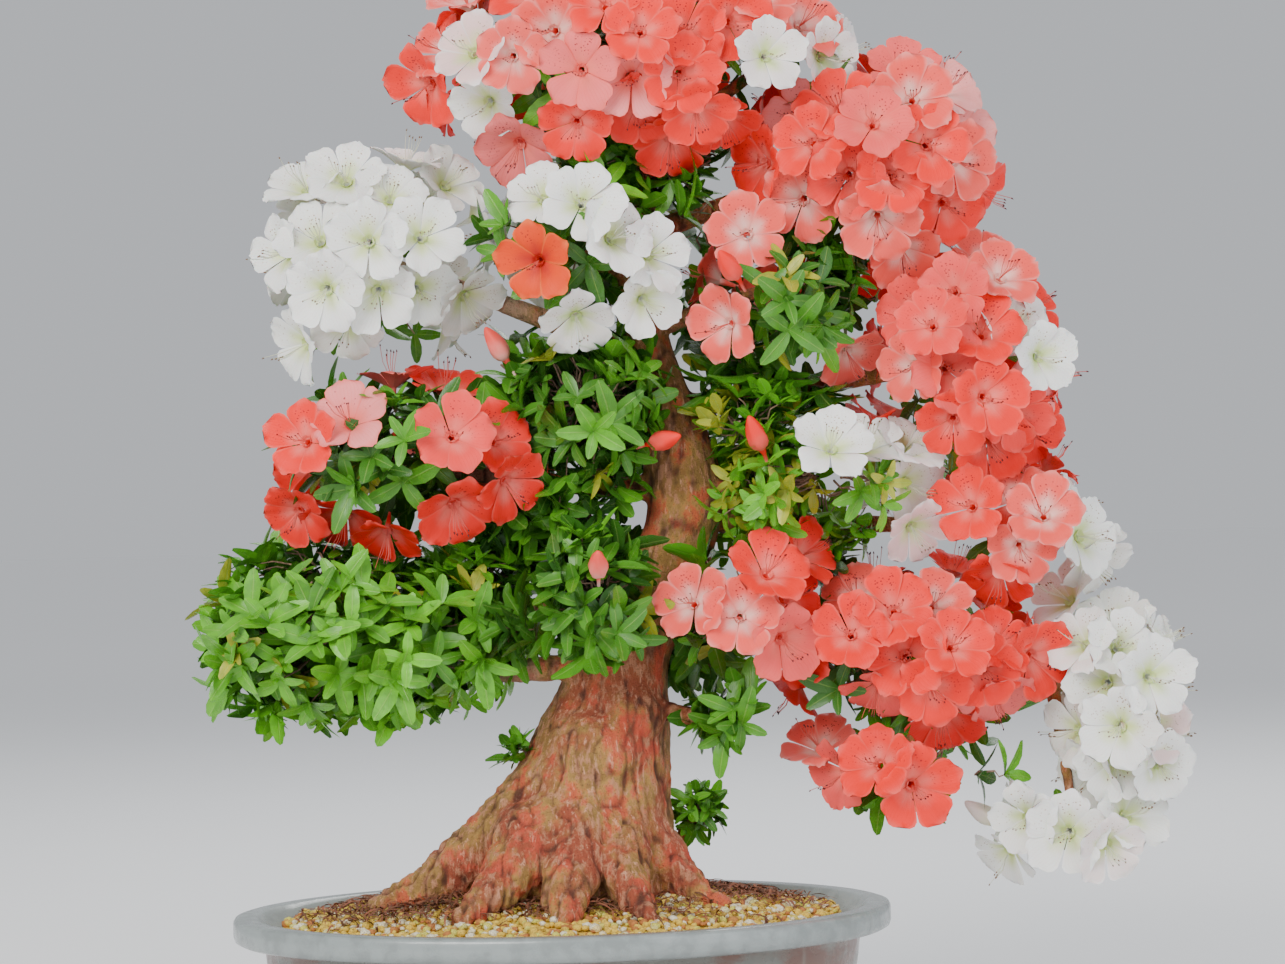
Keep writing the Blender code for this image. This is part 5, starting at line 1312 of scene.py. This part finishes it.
class BONSAI_OT_stage(bpy.types.Operator):
    """Sets the floor, the soft lights and the camera at the photograph's viewing angle"""
    bl_idname = "bonsai.stage"
    bl_label = "Stage"

    def execute(self, context):
        settings = context.scene.bonsai_stage
        bm = bmesh.new()
        bmesh.ops.create_grid(bm, x_segments=8, y_segments=8, size=20.0)
        finish = Finish("floor", 0.85)
        cloud = finish.noise(finish.place(), 1.5)
        near = finish.lay(settings.floor, (0.80, 0.80, 0.80), cloud, 0.3, 0.7, 0.0, 0.12)
        away = finish.add("ShaderNodeVectorMath", {0: finish.place()}, operation="LENGTH").outputs["Value"]
        finish.colour(finish.lay(near, (0.985, 0.985, 0.985), away, 1.5, 7.0))
        floor = mesh_object("floor", from_bmesh("floor", bm), finish.material)
        for name, place, power, size, tint in LAMPS:
            lamp = bpy.data.lights.new(name, "AREA")
            lamp.energy, lamp.size, lamp.color = power, size, tint
            holder = bpy.data.objects.new(name, lamp)
            aim = AIM - Vector(place)
            holder.matrix_world = Matrix.Translation(place) @ aim.to_track_quat("-Z", "Y").to_matrix().to_4x4()
            context.scene.collection.objects.link(holder)
        world = bpy.data.worlds.new("studio")
        world.use_nodes = True
        sky = world.node_tree.nodes["Background"].inputs
        sky["Color"].default_value, sky["Strength"].default_value = SKY, SKY_STRENGTH
        context.scene.world = world
        camera = bpy.data.cameras.new("camera")
        camera.lens = settings.lens
        camera.sensor_width = 36.0
        camera.clip_end = 50.0
        view = bpy.data.objects.new("camera", camera)
        level = Matrix.Rotation(math.pi / 2, 4, "X")
        view.matrix_world = Matrix.Translation(EYE) @ Matrix.Rotation(PHOTO_TILT, 4, "Y") @ level
        context.scene.collection.objects.link(view)
        context.scene.camera = view
        return {"FINISHED"}


OPERATORS = (BONSAI_OT_pot, BONSAI_OT_soil, BONSAI_OT_trunk, BONSAI_OT_leaves, BONSAI_OT_blooms, BONSAI_OT_stage)
SETTINGS = {
    "bonsai_pot": PotSettings, "bonsai_soil": SoilSettings, "bonsai_bark": BarkSettings,
    "bonsai_leaf": LeafSettings, "bonsai_bloom": BloomSettings, "bonsai_stage": StageSettings,
}


class BONSAI_PT_panel(bpy.types.Panel):
    """Lists the bonsai's pieces and their settings"""
    bl_idname = "BONSAI_PT_panel"
    bl_label = "Bonsai"
    bl_space_type = "VIEW_3D"
    bl_region_type = "UI"
    bl_category = "Bonsai"

    def draw(self, context):
        for operator in OPERATORS:
            self.layout.operator(operator.bl_idname)
        for name, group in SETTINGS.items():
            box = self.layout.box()
            for prop in group.__annotations__:
                box.prop(getattr(context.scene, name), prop)


def register():
    """Adds the operators, the panel and their settings to Blender."""
    for group in (*SETTINGS.values(), *OPERATORS, BONSAI_PT_panel):
        bpy.utils.register_class(group)
    for name, group in SETTINGS.items():
        setattr(bpy.types.Scene, name, PointerProperty(type=group))


def unregister():
    """Takes them away again."""
    for name in SETTINGS:
        delattr(bpy.types.Scene, name)
    for group in reversed((*SETTINGS.values(), *OPERATORS, BONSAI_PT_panel)):
        bpy.utils.unregister_class(group)


def main():
    """Makes every piece."""
    register()
    for make in ("pot", "soil", "trunk", "leaves", "blooms", "stage"):
        getattr(bpy.ops.bonsai, make)()


if __name__ == "__main__":
    main()
